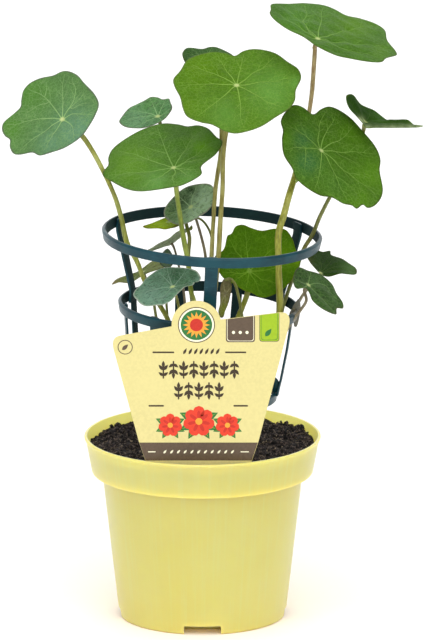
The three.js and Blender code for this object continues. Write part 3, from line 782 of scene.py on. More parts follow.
def printFinish(name, colour, fleck):
    material, tree, shader = startMaterial(name, **{"Specular IOR Level": 0.4})
    place = objectPlace(tree)
    grain = cloudy(tree, place, 700.0, 3.0, 0.6)
    broad = cloudy(tree, place, 45.0, 2.0)
    darker = tuple(part * (1 - 1.6 * fleck) for part in paint(*colour)[:3]) + (1.0,)
    share = calc(tree, "MULTIPLY", remap(tree, grain, 0.35, 0.65), remap(tree, broad, 0.25, 0.75, 0.4, 1.0))
    coat(tree, shader, mixed(tree, share, paint(*colour), darker), remap(tree, grain, 0.3, 0.7, 0.36, 0.5))
    relief(tree, shader, grain, 0.15, 0.05)
    return material


def disc(x, z, radius, steps=40):
    turns = np.arange(steps) * 2 * math.pi / steps
    return np.column_stack([x + radius * np.cos(turns), z + radius * np.sin(turns)])


def starShape(x, z, inner, outer, points):
    turns = np.arange(points * 2) * math.pi / points + math.pi / 2
    reach = np.where(np.arange(points * 2) % 2 == 0, outer, inner)
    return np.column_stack([x + reach * np.cos(turns), z + reach * np.sin(turns)])


# An outline of [along, across] from one place, in a direction given in degrees.
def pointing(x, z, edge, direction):
    cos, sin = math.cos(math.radians(direction)), math.sin(math.radians(direction))
    return np.array([(x + a * cos - b * sin, z + a * sin + b * cos) for a, b in edge])


def leafShape(x, z, length, width, direction):
    along = np.linspace(0, 1, 9)
    half = width / 2 * np.sin(math.pi * along ** 0.8)
    edge = [(length * a, -h) for a, h in zip(along, half)]
    edge += [(length * a, h) for a, h in zip(along[-2:0:-1], half[-2:0:-1])]
    return pointing(x, z, edge, direction)


def petalShape(x, z, length, width, direction):
    along = np.linspace(0, 1, 12)
    half = width / 2 * np.sqrt(np.clip(1 - (2 * along ** 1.5 - 1) ** 2, 0, 1))
    edge = [(length * a, -h) for a, h in zip(along[1:], half[1:])]
    edge += [(length * a, h) for a, h in zip(along[-2::-1], half[-2::-1])]
    return pointing(x, z, edge, direction)


def bar(x0, z0, x1, z1, radius):
    outline = roundedRectangle(x1 - x0, z1 - z0, radius)
    return outline + np.array([(x0 + x1) / 2, (z0 + z1) / 2])


def makeLabel():
    tones = ("paper", "brown", "green", "cream", "petal", "petalTwo", "heart", "leaf", "ink")
    finishes = []
    for tone in tones:
        name = "label" + tone[0].upper() + tone[1:]
        finishes.append(printFinish(name, label[tone], label["flecks"].get(tone, 0.08)))
    paper, brown, green, cream, petal, petalTwo, heart, leafGreen, ink = range(len(tones))
    half = label["thickness"] / 2
    shape = newShape()
    addPlate(shape, labelOutline(), -half, half, 0.12, paper)
    plane = label["plane"]
    spine = evenly(throughPoints([(plane, 90), (plane, 87), (plane + 2.6, 76), (plane + 8.5, 45)], 8), 24)
    section = roundedRectangle(label["stakeWidth"] - 0.8, label["thickness"] - 0.06, 0.2)
    stake = [[(label["stakeMiddle"] + a, y + b, z) for a, b in section] for y, z in spine]
    addPart(shape, *stackRings(stake, np.mean(stake[0], axis=0), np.mean(stake[-1], axis=0)), paper)

    # a thin printed shape: each layer stands a little further out than the one under it
    def printed(outline, layer, finish):
        addPlate(shape, outline, -half - label["inkRise"] * layer, -half + 0.1, 0, finish)

    printed(np.array([(-28.7, 93.7), (24.8, 93.7), (27.85, 103.1), (-31.75, 103.1)]), 1, brown)
    for x0, x1 in ((-27.4, -23.6), (19.2, 23.4)):
        printed(bar(x0, 98.0, x1, 98.5, 0.2), 2, cream)
    for x0, x1, z in ((-25.1, -14.2, 150.2), (11.4, 22.0, 150.2), (-27.1, -19.4, 122.3), (15.6, 22.9, 122.3)):
        printed(bar(x0, z - 0.42, x1, z + 0.42, 0.3), 1, ink)

    def topEdge(x):
        low, high = label["topEdge"]
        return low[1] + (x - low[0]) * (high[1] - low[1]) / (high[0] - low[0]) - 0.15

    # a tab that hangs from the top edge, with its two lower corners rounded
    def tab(x0, x1, foot, bend=1.6):
        points = [(x1, topEdge(x1)), (x0, topEdge(x0)), (x0, foot + bend)]
        points += quadCurve((x0, foot + bend), (x0, foot), (x0 + bend, foot), 5) + [(x1 - bend, foot)]
        points += quadCurve((x1 - bend, foot), (x1, foot), (x1, foot + bend), 5)
        return np.array([tuple(point) for point in points])

    printed(tab(11.8, 26.4, 155.5), 1, brown)
    printed(tab(12.35, 25.85, 156.05), 2, cream)
    printed(tab(12.6, 25.6, 156.3), 3, brown)
    printed(tab(28.6, 38.6, 155.8), 1, brown)
    printed(tab(28.85, 38.35, 156.05), 2, green)
    printed(tab(29.4, 37.8, 156.6), 3, leafGreen)
    printed(tab(29.6, 37.6, 156.8), 4, green)
    for x in (15.6, 19, 22.4):
        printed(disc(x, 160.6, 0.8, 20), 4, cream)
    printed(leafShape(31.6, 158.6, 5.0, 2.4, 52), 5, leafGreen)
    printed(disc(-38.8, 152.9, 3.8), 1, brown)
    printed(disc(-38.8, 152.9, 3.35), 2, paper)
    printed(leafShape(-40.3, 151.4, 4.2, 2.0, 45), 3, brown)

    crownX, crownZ = label["crown"]
    printed(disc(crownX, crownZ, 9.3, 64), 1, brown)
    printed(disc(crownX, crownZ, 8.8, 64), 2, cream)
    printed(disc(crownX, crownZ, 7.9, 64), 3, leafGreen)
    printed(starShape(crownX, crownZ, 4.3, 6.9, 16), 4, heart)
    printed(disc(crownX, crownZ, 3.3, 40), 5, petalTwo)

    # a row of sprouts, upright and hanging in turn
    def sprouts(middle, z, count, spacing, tall):
        for index in range(count):
            x = middle + (index - (count - 1) / 2) * spacing
            way = 1 if index % 2 == 0 else -1
            low, high = sorted((z - way * tall / 2, z + way * tall * 0.2))
            printed(bar(x - 0.38, low, x + 0.38, high, 0.3), 1, ink)
            printed(leafShape(x, z + way * tall * 0.14, tall * 0.38, 1.6, way * 90), 2, ink)
            for side in (-1, 1):
                printed(leafShape(x, z - way * tall * 0.02, tall * 0.4, 1.7, way * (90 + side * 40)), 2, ink)
                printed(leafShape(x, z - way * tall * 0.34, tall * 0.33, 1.5, way * (90 + side * 52)), 3, ink)

    sprouts(-1.8, 141.1, 8, 5.1, 9.2)
    sprouts(-1.8, 130.1, 5, 5.1, 9.0)
    for index in range(7):
        printed(leafShape(-9.6 + index * 2.75, 149.2, 3.6, 1.3, 62), 1, ink)
    for index in range(11):
        printed(leafShape(-19.6 + index * 3.4, 97.4, 2.4, 1.0, 50), 2, cream)

    # three blooms, the middle one in front
    for x, z, size in ((-16.2, 112.2, 0.98), (12.6, 112.2, 0.98), (-1.8, 114.2, 1.3)):
        for direction in (205, 240, 300, 335, 25, 155):
            printed(leafShape(x, z, 8.2 * size, 3.6 * size, direction), 1, leafGreen)
            printed(leafShape(x, z, 7.6 * size, 0.4 * size, direction), 2, green)
        for step in range(7):
            printed(petalShape(x, z, 6.2 * size, 4.3 * size, 90 + step * 360 / 7), 3 + step % 2, petal)
        for step in range(7):
            printed(petalShape(x, z, 4.4 * size, 1.3 * size, 90 + step * 360 / 7), 5, petalTwo)
        printed(disc(x, z, 1.35 * size, 24), 6, heart)
    piece = makePiece("label_board", shape, finishes, sharpAngle=35)
    settle(piece, "label_plastic", "plant_label")


makeLabel()
print("plant label made")

trellis = {
    "lean": 2.5, "foot": 88, "segments": 144, "gap": 0.35, "round": 0.45, "chamfer": 0.85,
    "strapThickness": 1.5, "upperWidth": 6.6, "lowerWidth": 5.3, "lowerThickness": 1.1, "catchThickness": 1.6,
    "eyeThickness": 1.3, "eyeHole": ((43.7, 74.1), (0.9, 1.6)), "eyeStraps": (0, 6),
    "spikeWidth": 5, "spikeAngles": (0, -140, 140),
    "upperAngles": ((0, 0), (-107.8, -117), (117, 123.5)),
    "lowerAngles": (-160, -116.5, -80, -40, 0, 40, 82.5, 120, 160),
    # inside is a painted shade for the faces that look inwards
    "colour": (22, 68, 78), "light": (38, 92, 98), "dark": (12, 50, 60), "inside": (20, 44, 46),
    "dust": (96, 120, 118), "paleAtEye": (134, 128, 112), "eyePlace": (0.0469, -0.0057, 0.1601),
}
hoops = {
    "top": {"radius": 55.8, "thickness": 2, "low": 106.8, "high": 112, "flare": 0.8},
    "middle": {"radius": 46, "thickness": 1.8, "low": 69.8, "high": 75, "flare": 0.7},
    "bottom": {"radius": 36.6, "thickness": 1.8, "low": 26.4, "high": 31, "flare": 0.1},
}


# Points of the upright trellis, leant over with it and set on the soil.
def trellisPoints(points):
    lean = math.radians(trellis["lean"])
    x, y, z = np.moveaxis(np.asarray(points, float), -1, 0)
    return np.stack([x * math.cos(lean) + z * math.sin(lean), y,
                     trellis["foot"] - x * math.sin(lean) + z * math.cos(lean)], axis=-1)


def makeTrellisPlastic():
    material, tree, shader = startMaterial("trellisPlastic", **{"Specular IOR Level": 0.22})
    place = objectPlace(tree)
    clouds = cloudy(tree, place, 60.0, 3.0)
    grain = cloudy(tree, place, 1100.0, 2.0)
    flow = cloudy(tree, objectPlace(tree, (1, 1, 6)), 260.0, 4.0, 0.6)
    tint = mixed(tree, remap(tree, clouds, 0.35, 0.65), paint(*trellis["dark"]), paint(*trellis["colour"]))
    pale = mixed(tree, remap(tree, flow, 0.55, 0.75, 0.0, 0.35), tint, paint(*trellis["light"]))
    dust = remap(tree, cloudy(tree, place, 340.0, 4.0, 0.7), 0.64, 0.76, 0.0, 0.16)
    layeredTone = mixed(tree, dust, pale, paint(*trellis["dust"]))
    # painted shade: faces that look inwards, which little light reaches, are mixed most of the way towards
    # the darker inside tone, and are made rougher
    inside = remap(tree, facingOut(tree, place), -0.02, 0.0, 1.0, 0.0)
    layeredTone = mixed(tree, calc(tree, "MULTIPLY", inside, 0.8), layeredTone, paint(*trellis["inside"]))
    # the tone turns paler near one eye fin
    fromEye = addNode(tree, "ShaderNodeVectorMath", {0: place, 1: trellis["eyePlace"]}, operation="DISTANCE")
    paleAtEye = remap(tree, fromEye.outputs["Value"], 0.007, 0.011, 0.75, 0.0)
    rough = calc(tree, "ADD", remap(tree, flow, 0.3, 0.7, 0.28, 0.42), calc(tree, "MULTIPLY", inside, 0.45))
    coat(tree, shader, mixed(tree, paleAtEye, layeredTone, paint(*trellis["paleAtEye"])), rough)
    relief(tree, shader, calc(tree, "ADD", calc(tree, "MULTIPLY", grain, 0.4), flow), 0.25, 0.12)
    return material


# Where the middle of a strap's thickness lies just inside a hoop.
def insideOf(hoop):
    inner = hoop["radius"] - hoop["flare"] - hoop["thickness"]
    return inner - trellis["gap"] - 0.15 - trellis["strapThickness"] / 2


# The hoop's section with rounded corners and a chamfer along its outer top edge.
def hoopProfile(hoop):
    foot, out, cut = hoop["radius"] - hoop["flare"], hoop["radius"], trellis["chamfer"]
    thick, low, high, bend = hoop["thickness"], hoop["low"], hoop["high"], trellis["round"]
    profile = arcPoints(foot - bend, low + bend, bend, -90, 0, 4)
    profile += [[out - 0.03, high - cut - 0.18], [out - 0.02, high - cut - 0.04]]
    profile += [[out - 0.1, high - cut + 0.07], [out - cut + 0.05, high - 0.13]]
    profile += [[out - cut - 0.06, high - 0.03], [out - cut - 0.2, high]]
    profile += arcPoints(out - thick + bend * 0.7, high - bend * 0.7, bend * 0.7, 90, 180, 4)
    profile += arcPoints(foot - thick + bend, low + bend, bend, 180, 270, 4)
    return profile


# A strip with rounded edges that follows a spine of [outward, height] at an angle round the trellis. Where it
# has two angles, it turns from the one at its foot to the other at its top.
def addStrap(shape, spine, width, angle, thickness=None):
    thickness = thickness or trellis["strapThickness"]
    path = []
    spine = np.asarray(spine, float)
    for index, point in enumerate(spine):
        if 0 < index < len(spine) - 1:
            before, after = spine[index - 1] - point, spine[index + 1] - point
            reach = min(1.2, 0.4 * np.linalg.norm(before), 0.4 * np.linalg.norm(after))
            start, end = point + unit(before) * reach, point + unit(after) * reach
            path += [start] + quadCurve(start, point, end, 4)
        else:
            path.append(point)
    path = np.array(path)
    ahead = unit(np.gradient(path, axis=0))
    normal = np.column_stack([ahead[:, 1], -ahead[:, 0]])
    angles = angle if isinstance(angle, tuple) else (angle, angle)
    turns = np.radians(np.interp(path[:, 1], (path[:, 1].min(), path[:, 1].max()), angles))
    outwards = np.column_stack([np.sin(turns), -np.cos(turns), 0 * turns])
    up = np.array([0, 0, 1.0])
    section = roundedRectangle(width, thickness, trellis["round"], 3)
    rings = []
    last = len(path) - 1
    for point, side, outward in zip(path, normal, outwards):
        centre = outward * point[0] + up * point[1]
        face = outward * side[0] + up * side[1]
        rings.append(centre + section[:, :1] * np.cross(up, outward) + section[:, 1:] * face)
    for end in (0, last):
        slim = rings[end].mean(axis=0) + (rings[end] - rings[end].mean(axis=0)) * (1 - 0.35)
        forward = outwards[end] * ahead[end][0] + up * ahead[end][1]
        if end == 0:
            rings.insert(0, slim - forward * 0.35)
        else:
            rings.append(slim + forward * 0.35)
    rings = trellisPoints(np.array(rings))
    addPart(shape, *stackRings(rings, rings[0].mean(axis=0), rings[-1].mean(axis=0)))


# A thin plate in a strap's own upright plane: the outline lists [outward, height], and so does the hole.
def addFin(shape, outline, thickness, angle, hole=None):
    turn = math.radians(angle)
    outward = np.array([math.sin(turn), -math.cos(turn), 0])
    across = np.array([math.cos(turn), math.sin(turn), 0])
    corners = 48
    outline = evenly(throughPoints(outline, 6, True), corners, True)
    if np.cross(outline, np.roll(outline, -1, axis=0)).sum() < 0:
        outline = outline[::-1]
    half, bevel = thickness / 2, 0.25
    slim = inset(outline, bevel)
    layers = [(slim, -half), (outline, bevel - half), (outline, half - bevel), (slim, half)]
    if hole:
        middle, (halfWide, halfTall) = np.array(hole[0]), hole[1]
        order = np.argmin(np.abs(np.arctan2(*(outline - middle).T[::-1])))
        layers = [(np.roll(ring, -order, axis=0), level) for ring, level in layers]
        turns = np.arange(corners) * 2 * math.pi / corners
        bore = middle + np.column_stack([halfWide * np.cos(turns), halfTall * np.sin(turns)])
        layers += [(bore, half), (bore, -half)]
    rings = trellisPoints([[outward * out + across * level + np.array([0, 0, up]) for out, up in ring]
                           for ring, level in layers])
    addPart(shape, *(stackRings(rings) if hole else plateSkin(rings)))


def makeTrellis():
    plastic = makeTrellisPlastic()
    eye = [(45.6, 80.5), (46.6, 77.5), (46.7, 74), (46.2, 70), (45.2, 66), (44.2, 65.8), (43.2, 69),
           (41.2, 72.2), (42.2, 75), (44, 78.5)]
    catch = [(35.1, 38.7), (34.3, 35.5), (33.9, 32.9), (35.2, 31.1), (37.2, 31.1), (37.7, 33.5), (37.5, 36.4)]

    def finishPiece(name, shape, node):
        piece = makePiece(name, shape, [plastic], sharpAngle=50)
        settle(piece, "trellis_plastic", node)

    for place, hoop in hoops.items():
        shape = newShape()
        rings = trellisPoints(turnedRings(hoopProfile(hoop), trellis["segments"]))
        addPart(shape, *stackRings(rings, flip=True))
        finishPiece(f"hoop_{place}", shape, f"trellis_ring_{place}")
    top, centre, bottom = hoops["top"], hoops["middle"], hoops["bottom"]
    inner = insideOf(centre) - 1.2
    upperSpine = [[insideOf(top) + 0.25, top["high"] - 0.7], [insideOf(top) + 0.2, top["low"] - 0.6],
                  [inner, centre["high"] + 1.5], [inner, centre["low"] + 1]]
    for index, angle in enumerate(trellis["upperAngles"]):
        shape = newShape()
        addStrap(shape, upperSpine, trellis["upperWidth"], angle)
        finishPiece(f"upper_strap_{index + 1}", shape, f"trellis_upper_strap_{index + 1}")
    lowerSpine = [[insideOf(centre) + 0.2, centre["high"] - 0.6], [insideOf(centre) + 0.2, centre["low"] - 1],
                  [40.9, 54], [38.5, 38], [37.5, 33], [37, bottom["high"] - 1.5]]
    for index, angle in enumerate(trellis["lowerAngles"]):
        shape = newShape()
        addStrap(shape, lowerSpine, trellis["lowerWidth"], angle, trellis["lowerThickness"])
        addFin(shape, catch, trellis["catchThickness"], angle)
        if index in trellis["eyeStraps"]:
            addFin(shape, eye, trellis["eyeThickness"], angle, trellis["eyeHole"])
        finishPiece(f"lower_strap_{index + 1}", shape, f"trellis_lower_strap_{index + 1}")
    inner = insideOf(bottom)
    spikeSpine = [[inner, bottom["high"] - 0.4], [inner, bottom["low"] - 1], [inner - 1.5, -38]]
    for index, angle in enumerate(trellis["spikeAngles"]):
        shape = newShape()
        addStrap(shape, spikeSpine, trellis["spikeWidth"], angle)
        finishPiece(f"spike_{index + 1}", shape, f"trellis_spike_{index + 1}")


makeTrellis()
print("trellis made")

# hub, outline, veins and branches are steps of the front view, across and up. depth is millimetres behind the
# pot's axis, tilt and lean turn the blade's face away from the view, and a third number in an outline is
# millimetres behind the hub. The route of a stalk lists across, up and millimetres behind the pot's axis.
# Veins run outwards from the hub. Patches are a tone, across, up, reach and strength; most of the tones
# paint light and shade onto the blade.
leaves = {}
leaves["far_left"] = {
    "hub": (-140, 495), "depth": 0, "tilt": 44, "lean": -37, "radius": 1.2,
    "outline": [
        (-140, 543), (-134, 543), (-125, 539), (-118, 531), (-107, 519), (-103, 509), (-106, 499),
        (-112, 488), (-120, 477), (-136, 466), (-150, 461), (-162, 458), (-169, 461), (-182, 459),
        (-188, 460), (-192, 467), (-192, 474), (-197, 478), (-200, 484), (-199, 491), (-188, 501),
        (-182, 507), (-181, 515), (-179, 524), (-173, 531), (-163, 536), (-149, 539)],
    "route": [
        (-24, 232.5, 4), (-28, 262, 3), (-34, 293, 2), (-42, 308, 1), (-58, 334, 0), (-65, 352, 0),
        (-75, 371, 2), (-82, 400, 3), (-90, 424, 3), (-120, 478, 3)],
    "veins": [
        [(-151, 510), (-158, 517), (-166, 522), (-176, 526)],
        [(-139, 507), (-139, 516), (-140, 526), (-138, 538)],
        [(-135, 503), (-129, 511), (-127, 520), (-127, 527), (-130, 533)],
        [(-134, 504), (-125, 512), (-117, 521)], [(-130, 500), (-119, 499), (-107, 498)],
        [(-133, 491), (-129, 486), (-128, 476)], [(-144, 486), (-150, 475), (-156, 466)],
        [(-154, 485), (-166, 477), (-174, 470), (-183, 462)],
        [(-153, 495), (-162, 495), (-177, 492), (-184, 490), (-197, 489)]],
    "branches": [
        [(-153, 511), (-165, 507), (-174, 502), (-182, 503)], [(-157, 517), (-155, 524), (-155, 531)],
        [(-130, 505), (-121, 509), (-110, 510)]],
    "tones": {"top": (82, 121, 64), "frost": (93, 133, 105), "glow": (72, 120, 38), "margin": (83, 91, 75)},
    "patches": [
        ("glow", -172, 522, 20, 0.8), ("frost", -126, 482, 24, 0.9), ("frost", -150, 470, 16, 0.7),
        ("glow", -191, 486, 13, 1.0)],
}
leaves["left_broad"] = {
    "hub": (-29, 447), "depth": -16, "tilt": 56, "lean": -16, "radius": 1.25,
    "outline": [
        (-40, 491), (-24, 490), (-15, 488), (-5, 489), (5, 486), (14, 477), (20, 472), (14, 460), (-1, 447),
        (-1, 439), (-20, 428), (-30, 426), (-61, 422), (-74, 424), (-90, 432), (-99, 438), (-99, 442),
        (-94, 449), (-94, 456), (-90, 465), (-78, 475), (-58, 486)],
    "route": [
        (-2.6, 228.6, 5.6), (-6, 280, 2), (-9, 315, 0), (-11, 321, -1), (-15, 357, -4), (-18, 371, -5),
        (-22, 396, -8), (-26, 424, -11)],
    "veins": [
        [(-36, 462), (-40, 473), (-44, 484)], [(-20, 459), (-15, 468), (-10, 476)],
        [(-43, 450), (-55, 454), (-66, 459), (-79, 462)], [(-39, 444), (-59, 442), (-75, 440), (-90, 439)],
        [(-39, 439), (-47, 434), (-55, 429)], [(-27, 441), (-30, 436), (-28, 430)], [(-22, 444), (-16, 439)],
        [(-18, 445), (-5, 444)], [(-19, 450), (-7, 452), (4, 456)], [(-20, 449), (-8, 458), (4, 468)]],
    "branches": [[(-35, 460), (-51, 464), (-61, 468)]],
    "tones": {
        "top": (69, 111, 29), "frost": (92, 140, 66), "glow": (88, 130, 28), "shade": (90, 140, 24),
        "margin": (71, 86, 41)},
    # the shade patch at the right end is lighter than the top: painted light over the shadow that falls there
    "patches": [
        ("glow", -72, 452, 22, 0.8), ("shade", 1, 471, 13, 1.0), ("frost", -46, 431, 14, 0.8),
        ("frost", -14, 436, 10, 0.6)],
}
leaves["top_centre"] = {
    "hub": (34, 528), "depth": -4, "tilt": 48, "lean": 2, "radius": 1.2,
    "outline": [
        (32, 558), (41, 563), (53, 565), (72, 561), (85, 552), (95, 545), (98, 539), (98, 534), (93, 523),
        (92, 513), (87, 505), (72, 495), (58, 486), (44, 481), (32, 479), (23, 481), (9, 488), (-1, 490),
        (-15, 496), (-20, 506), (-22, 515), (-28, 527), (-29, 534), (-22, 543), (-15, 554), (-4, 559),
        (11, 562), (22, 561)],
    "route": [
        (3, 251.5, 8), (10, 300, 3), (16, 360, 0), (18, 396, 1), (20, 425, 1), (21, 463, -1), (27, 500, -1)],
    "veins": [
        [(29, 536), (25, 541), (20, 550)], [(36, 538), (38, 545), (40, 554)],
        [(42, 534), (52, 541), (62, 547), (71, 556)], [(52, 530), (63, 531), (79, 534), (92, 536)],
        [(47, 522), (62, 513), (79, 505)], [(36, 519), (38, 507), (38, 494), (41, 485)],
        [(25, 521), (16, 513), (5, 504), (-5, 496)], [(21, 529), (-2, 529), (-17, 528)],
        [(23, 534), (12, 539), (2, 543)]],
    "tones": {"top": (73, 114, 12), "frost": (95, 144, 60), "glow": (80, 119, 2), "margin": (85, 104, 46)},
    "patches": [
        ("glow", -4, 548, 20, 0.9), ("frost", 70, 522, 24, 0.8), ("frost", 24, 498, 18, 0.5),
        ("glow", -16, 506, 11, 0.8), ("frost", 92, 530, 9, 0.9)],
}
leaves["behind_centre"] = {
    "hub": (6, 554), "depth": 30, "tilt": 60, "lean": 7, "radius": 1.1,
    "outline": [
        (-20, 562), (-15, 567), (0, 566), (7, 568), (13, 568), (23, 564), (31, 559), (36, 552), (34, 546),
        (22, 542), (8, 542), (-6, 544), (-16, 550), (-20, 558)],
    "route": [
        (10, 234, 8.5), (9, 290, 9), (8, 330, 7), (9, 358, 6), (11, 396, 7), (13, 425, 8), (19, 471, 11),
        (16, 510, 18)],
    "tones": {"top": (37, 75, 20), "frost": (52, 90, 33), "glow": (45, 83, 10), "margin": (59, 70, 28)},
    "patches": [("frost", 10, 562, 14, 0.6)],
}
leaves["left_small"] = {
    "hub": (-45, 499), "depth": 35, "tilt": 60, "lean": -19, "radius": 1,
    "outline": [
        (-52.3, 518.5), (-45, 518.1), (-40, 516), (-34.1, 516.8), (-32, 512.7), (-30.2, 506.9),
        (-32.7, 501.8), (-38.5, 495.2), (-48, 490), (-58.9, 486.5), (-66.9, 486.2), (-75.6, 487.2),
        (-81.4, 490.1), (-83.6, 493.8), (-80.7, 498.9), (-73.4, 507.6), (-66.1, 511.2), (-57.4, 515.6)],
    "route": [
        (-1, 235, 11.6), (-10, 310, 11), (-14, 358, 13), (-13, 377, 16), (-16, 389, 20), (-20, 405, 28),
        (-25, 422, 34), (-33, 455, 35)],
    "veins": [
        [(-48, 507), (-52, 515)], [(-56, 502), (-64, 504), (-72, 505)], [(-60, 498), (-73, 496), (-78, 494)],
        [(-41, 494), (-44, 491)], [(-38, 502), (-33, 506)], [(-41, 507), (-38, 513)],
        [(-54, 494), (-64, 489)]],
    "tones": {"top": (80, 126, 75), "frost": (96, 137, 98), "glow": (74, 126, 54), "margin": (97, 93, 80)},
    "patches": [("frost", -66, 494, 14, 0.9), ("glow", -52, 512, 11, 0.8)],
}
leaves["top_right"] = {
    "hub": (115, 575), "depth": 5, "tilt": 70, "lean": 20, "radius": 1.1,
    "outline": [
        (69, 610), (87, 611), (104, 612), (123, 610), (133, 606), (144, 600), (158, 597), (173, 592),
        (182, 586), (185, 574), (193, 563), (194, 559), (183, 555), (178, 551), (166, 551), (147, 554),
        (133, 557), (114, 566), (100, 576), (84, 584), (71, 594), (67, 600), (68, 604)],
    "route": [
        (98, 458.5, 8.5), (104, 490, 14), (107, 505, 20), (109, 520, 19), (111, 546, 12), (112, 566, 8)],
    "veins": [
        [(116, 584), (119, 594), (119, 602), (122, 609)],
        [(109, 581), (101, 590), (100, 592), (104, 599), (103, 606)],
        [(108, 580), (101, 590), (93, 597), (87, 603)], [(106, 580), (97, 586), (87, 592), (79, 598)],
        [(127, 578), (136, 581), (149, 585), (170, 590)], [(131, 572), (149, 570), (166, 569), (183, 565)],
        [(127, 570), (136, 565), (149, 562), (164, 559)], [(104, 577), (97, 580), (91, 583)]],
    "tones": {
        "top": (59, 104, 12), "frost": (68, 117, 33), "glow": (76, 118, 8), "shade": (39, 79, 6),
        "margin": (69, 84, 28)},
    "patches": [
        ("frost", 90, 598, 18, 0.8), ("glow", 152, 590, 18, 0.9), ("glow", 178, 562, 10, 0.6),
        ("shade", 76, 603, 9, 0.6)],
}
leaves["right_broad"] = {
    "hub": (119, 464), "depth": 0, "tilt": 49, "lean": 43, "radius": 1.1,
    "outline": [
        (91, 509), (100, 507), (110, 500), (118, 505), (126, 508), (134, 506), (148, 497), (160, 484),
        (171, 471), (176, 462), (178, 454), (177, 444), (180, 425), (178, 416), (171, 408), (164, 406),
        (160, 409), (153, 405), (149, 408), (140, 410), (129, 416), (117, 418), (103, 426), (93, 435),
        (89, 445), (81, 458), (79, 474), (80, 483), (78, 493)],
    "route": [(100.3, 440, 3), (108, 450, 6)],
    "veins": [
        [(116, 472), (116, 480), (118, 493), (122, 501)], [(120, 474), (124, 483), (132, 496), (133, 502)],
        [(127, 470), (137, 474), (144, 480), (150, 488)], [(130, 463), (140, 462), (159, 462), (172, 460)],
        [(130, 455), (140, 445), (148, 439), (158, 431), (164, 426)],
        [(124, 456), (130, 443), (135, 432), (142, 417)], [(118, 455), (117, 443), (115, 434), (111, 424)],
        [(110, 465), (103, 466), (92, 466), (85, 464)], [(112, 469), (107, 474), (100, 480), (89, 486)]],
    "branches": [[(135, 460), (150, 451), (157, 446)], [(103, 465), (102, 454), (101, 443)]],
    "tones": {
        "top": (64, 104, 15), "frost": (58, 101, 36), "glow": (78, 122, 14), "shade": (48, 96, 52),
        "margin": (63, 75, 25)},
    "patches": [
        ("shade", 100, 474, 11, 0.8), ("shade", 105, 452, 13, 0.9), ("glow", 84, 476, 8, 1.0),
        ("glow", 170, 440, 16, 0.8), ("glow", 150, 482, 14, 0.6), ("glow", 158, 412, 10, 0.8),
        ("frost", 132, 430, 12, 0.4)],
}
leaves["far_right_folded"] = {
    "hub": (163, 493), "depth": 32, "tilt": 70, "lean": 12, "radius": 1,
    "outline": [
        (143.5, 518, -4), (147.5, 520.7, 2), (151.5, 519.5, 6), (159.5, 510.5, 14), (172.5, 505, 18),
        (178.5, 500.5, 19), (186.5, 495, 18), (201.5, 495.7, 13), (206.5, 495, 10), (212.5, 490, 6),
        (221, 489, 0), (217, 487.3, -6), (192, 486.5, -13), (172.5, 486.5, -14), (163.5, 486.5, -14),
        (159.5, 491.5, -13), (153.5, 498.5, -11), (147.5, 505, -9), (144.5, 510.5, -8)],
    "route": [
        (66, 235, -2.5), (74, 275, 0), (80, 306, 6), (84, 318, 9), (88, 330, 10.5), (95, 349, 11.5),
        (102, 367, 10.5), (109.5, 379, 7.5), (117, 397, 7), (126, 415, 8), (140, 440, 15), (152, 465, 24),
        (160, 480, 30)],
    "tones": {
        "shine": 0.015, "under": (58, 88, 14), "vein": (62, 96, 34), "top": (36, 72, 2),
        "frost": (178, 192, 140), "glow": (52, 94, 8), "margin": (84, 113, 19)},
    "patches": [
        ("frost", 158, 494, 4, 1.0), ("frost", 166, 485, 5, 0.9), ("frost", 174, 484, 5, 0.9),
        ("frost", 182, 484, 5, 0.9), ("frost", 190, 484, 5, 0.9), ("frost", 199, 484, 5, 0.9),
        ("frost", 208, 485, 5, 0.8), ("frost", 218, 486, 5, 0.8), ("glow", 176, 496, 8, 0.8)],
}
leaves["inner_left"] = {
    "hub": (-12, 408), "depth": 19, "tilt": 50, "lean": -31, "radius": 0.7,
    "outline": [
        (-38, 398), (-38, 406), (-29, 418), (-16, 428), (6, 431), (12, 425), (12, 414), (6, 404), (-3, 398),
        (-13, 392), (-26, 390)],
    "route": [(7.7, 231, 11.2), (6, 290, 14), (4, 330, 15), (3, 358, 14), (-1, 377, 14), (-6, 394, 15)],
    "veins": [
        [(-8, 399), (-6, 394)], [(-2, 415), (6, 425)], [(-10, 418), (-6, 427)], [(-20, 415), (-24, 419)],
        [(-22, 403), (-34, 399)], [(-2, 407), (7, 412)], [(-18, 399), (-24, 394)]],
    "tones": {
        "vein": (154, 182, 134), "top": (142, 174, 128), "frost": (172, 198, 168), "glow": (66, 98, 40),
        "shade": (12, 42, 0), "margin": (141, 133, 123)},
    "patches": [
        ("glow", -31, 402, 12, 0.9), ("shade", -21, 416, 12, 1.0), ("shade", -12, 425, 9, 1.0),
        ("frost", 2, 414, 11, 1.0), ("frost", -8, 402, 9, 0.9)],
}
leaves["young_tip"] = {
    "hub": (-34, 393), "depth": 22, "tilt": 60, "lean": 2, "radius": 0.6,
    "outline": [
        (-60, 388), (-52, 391), (-45, 394), (-38, 397), (-30, 399), (-25, 397), (-24, 392), (-28, 388),
        (-37, 385), (-44, 386), (-56, 386)],
    "route": [
        (3, 213, 12.8), (6, 270, 18), (9, 330, 19), (10, 350, 18), (8, 381, 17), (0, 394, 22), (-8, 397, 27),
        (-17, 395, 29), (-26, 389, 27)],
    "tones": {
        "top": (162, 191, 2), "frost": (176, 205, 10), "glow": (179, 205, 2), "shade": (112, 87, 3),
        "margin": (122, 114, 5)},
    "patches": [("shade", -60, 387, 6, 1.0)],
}
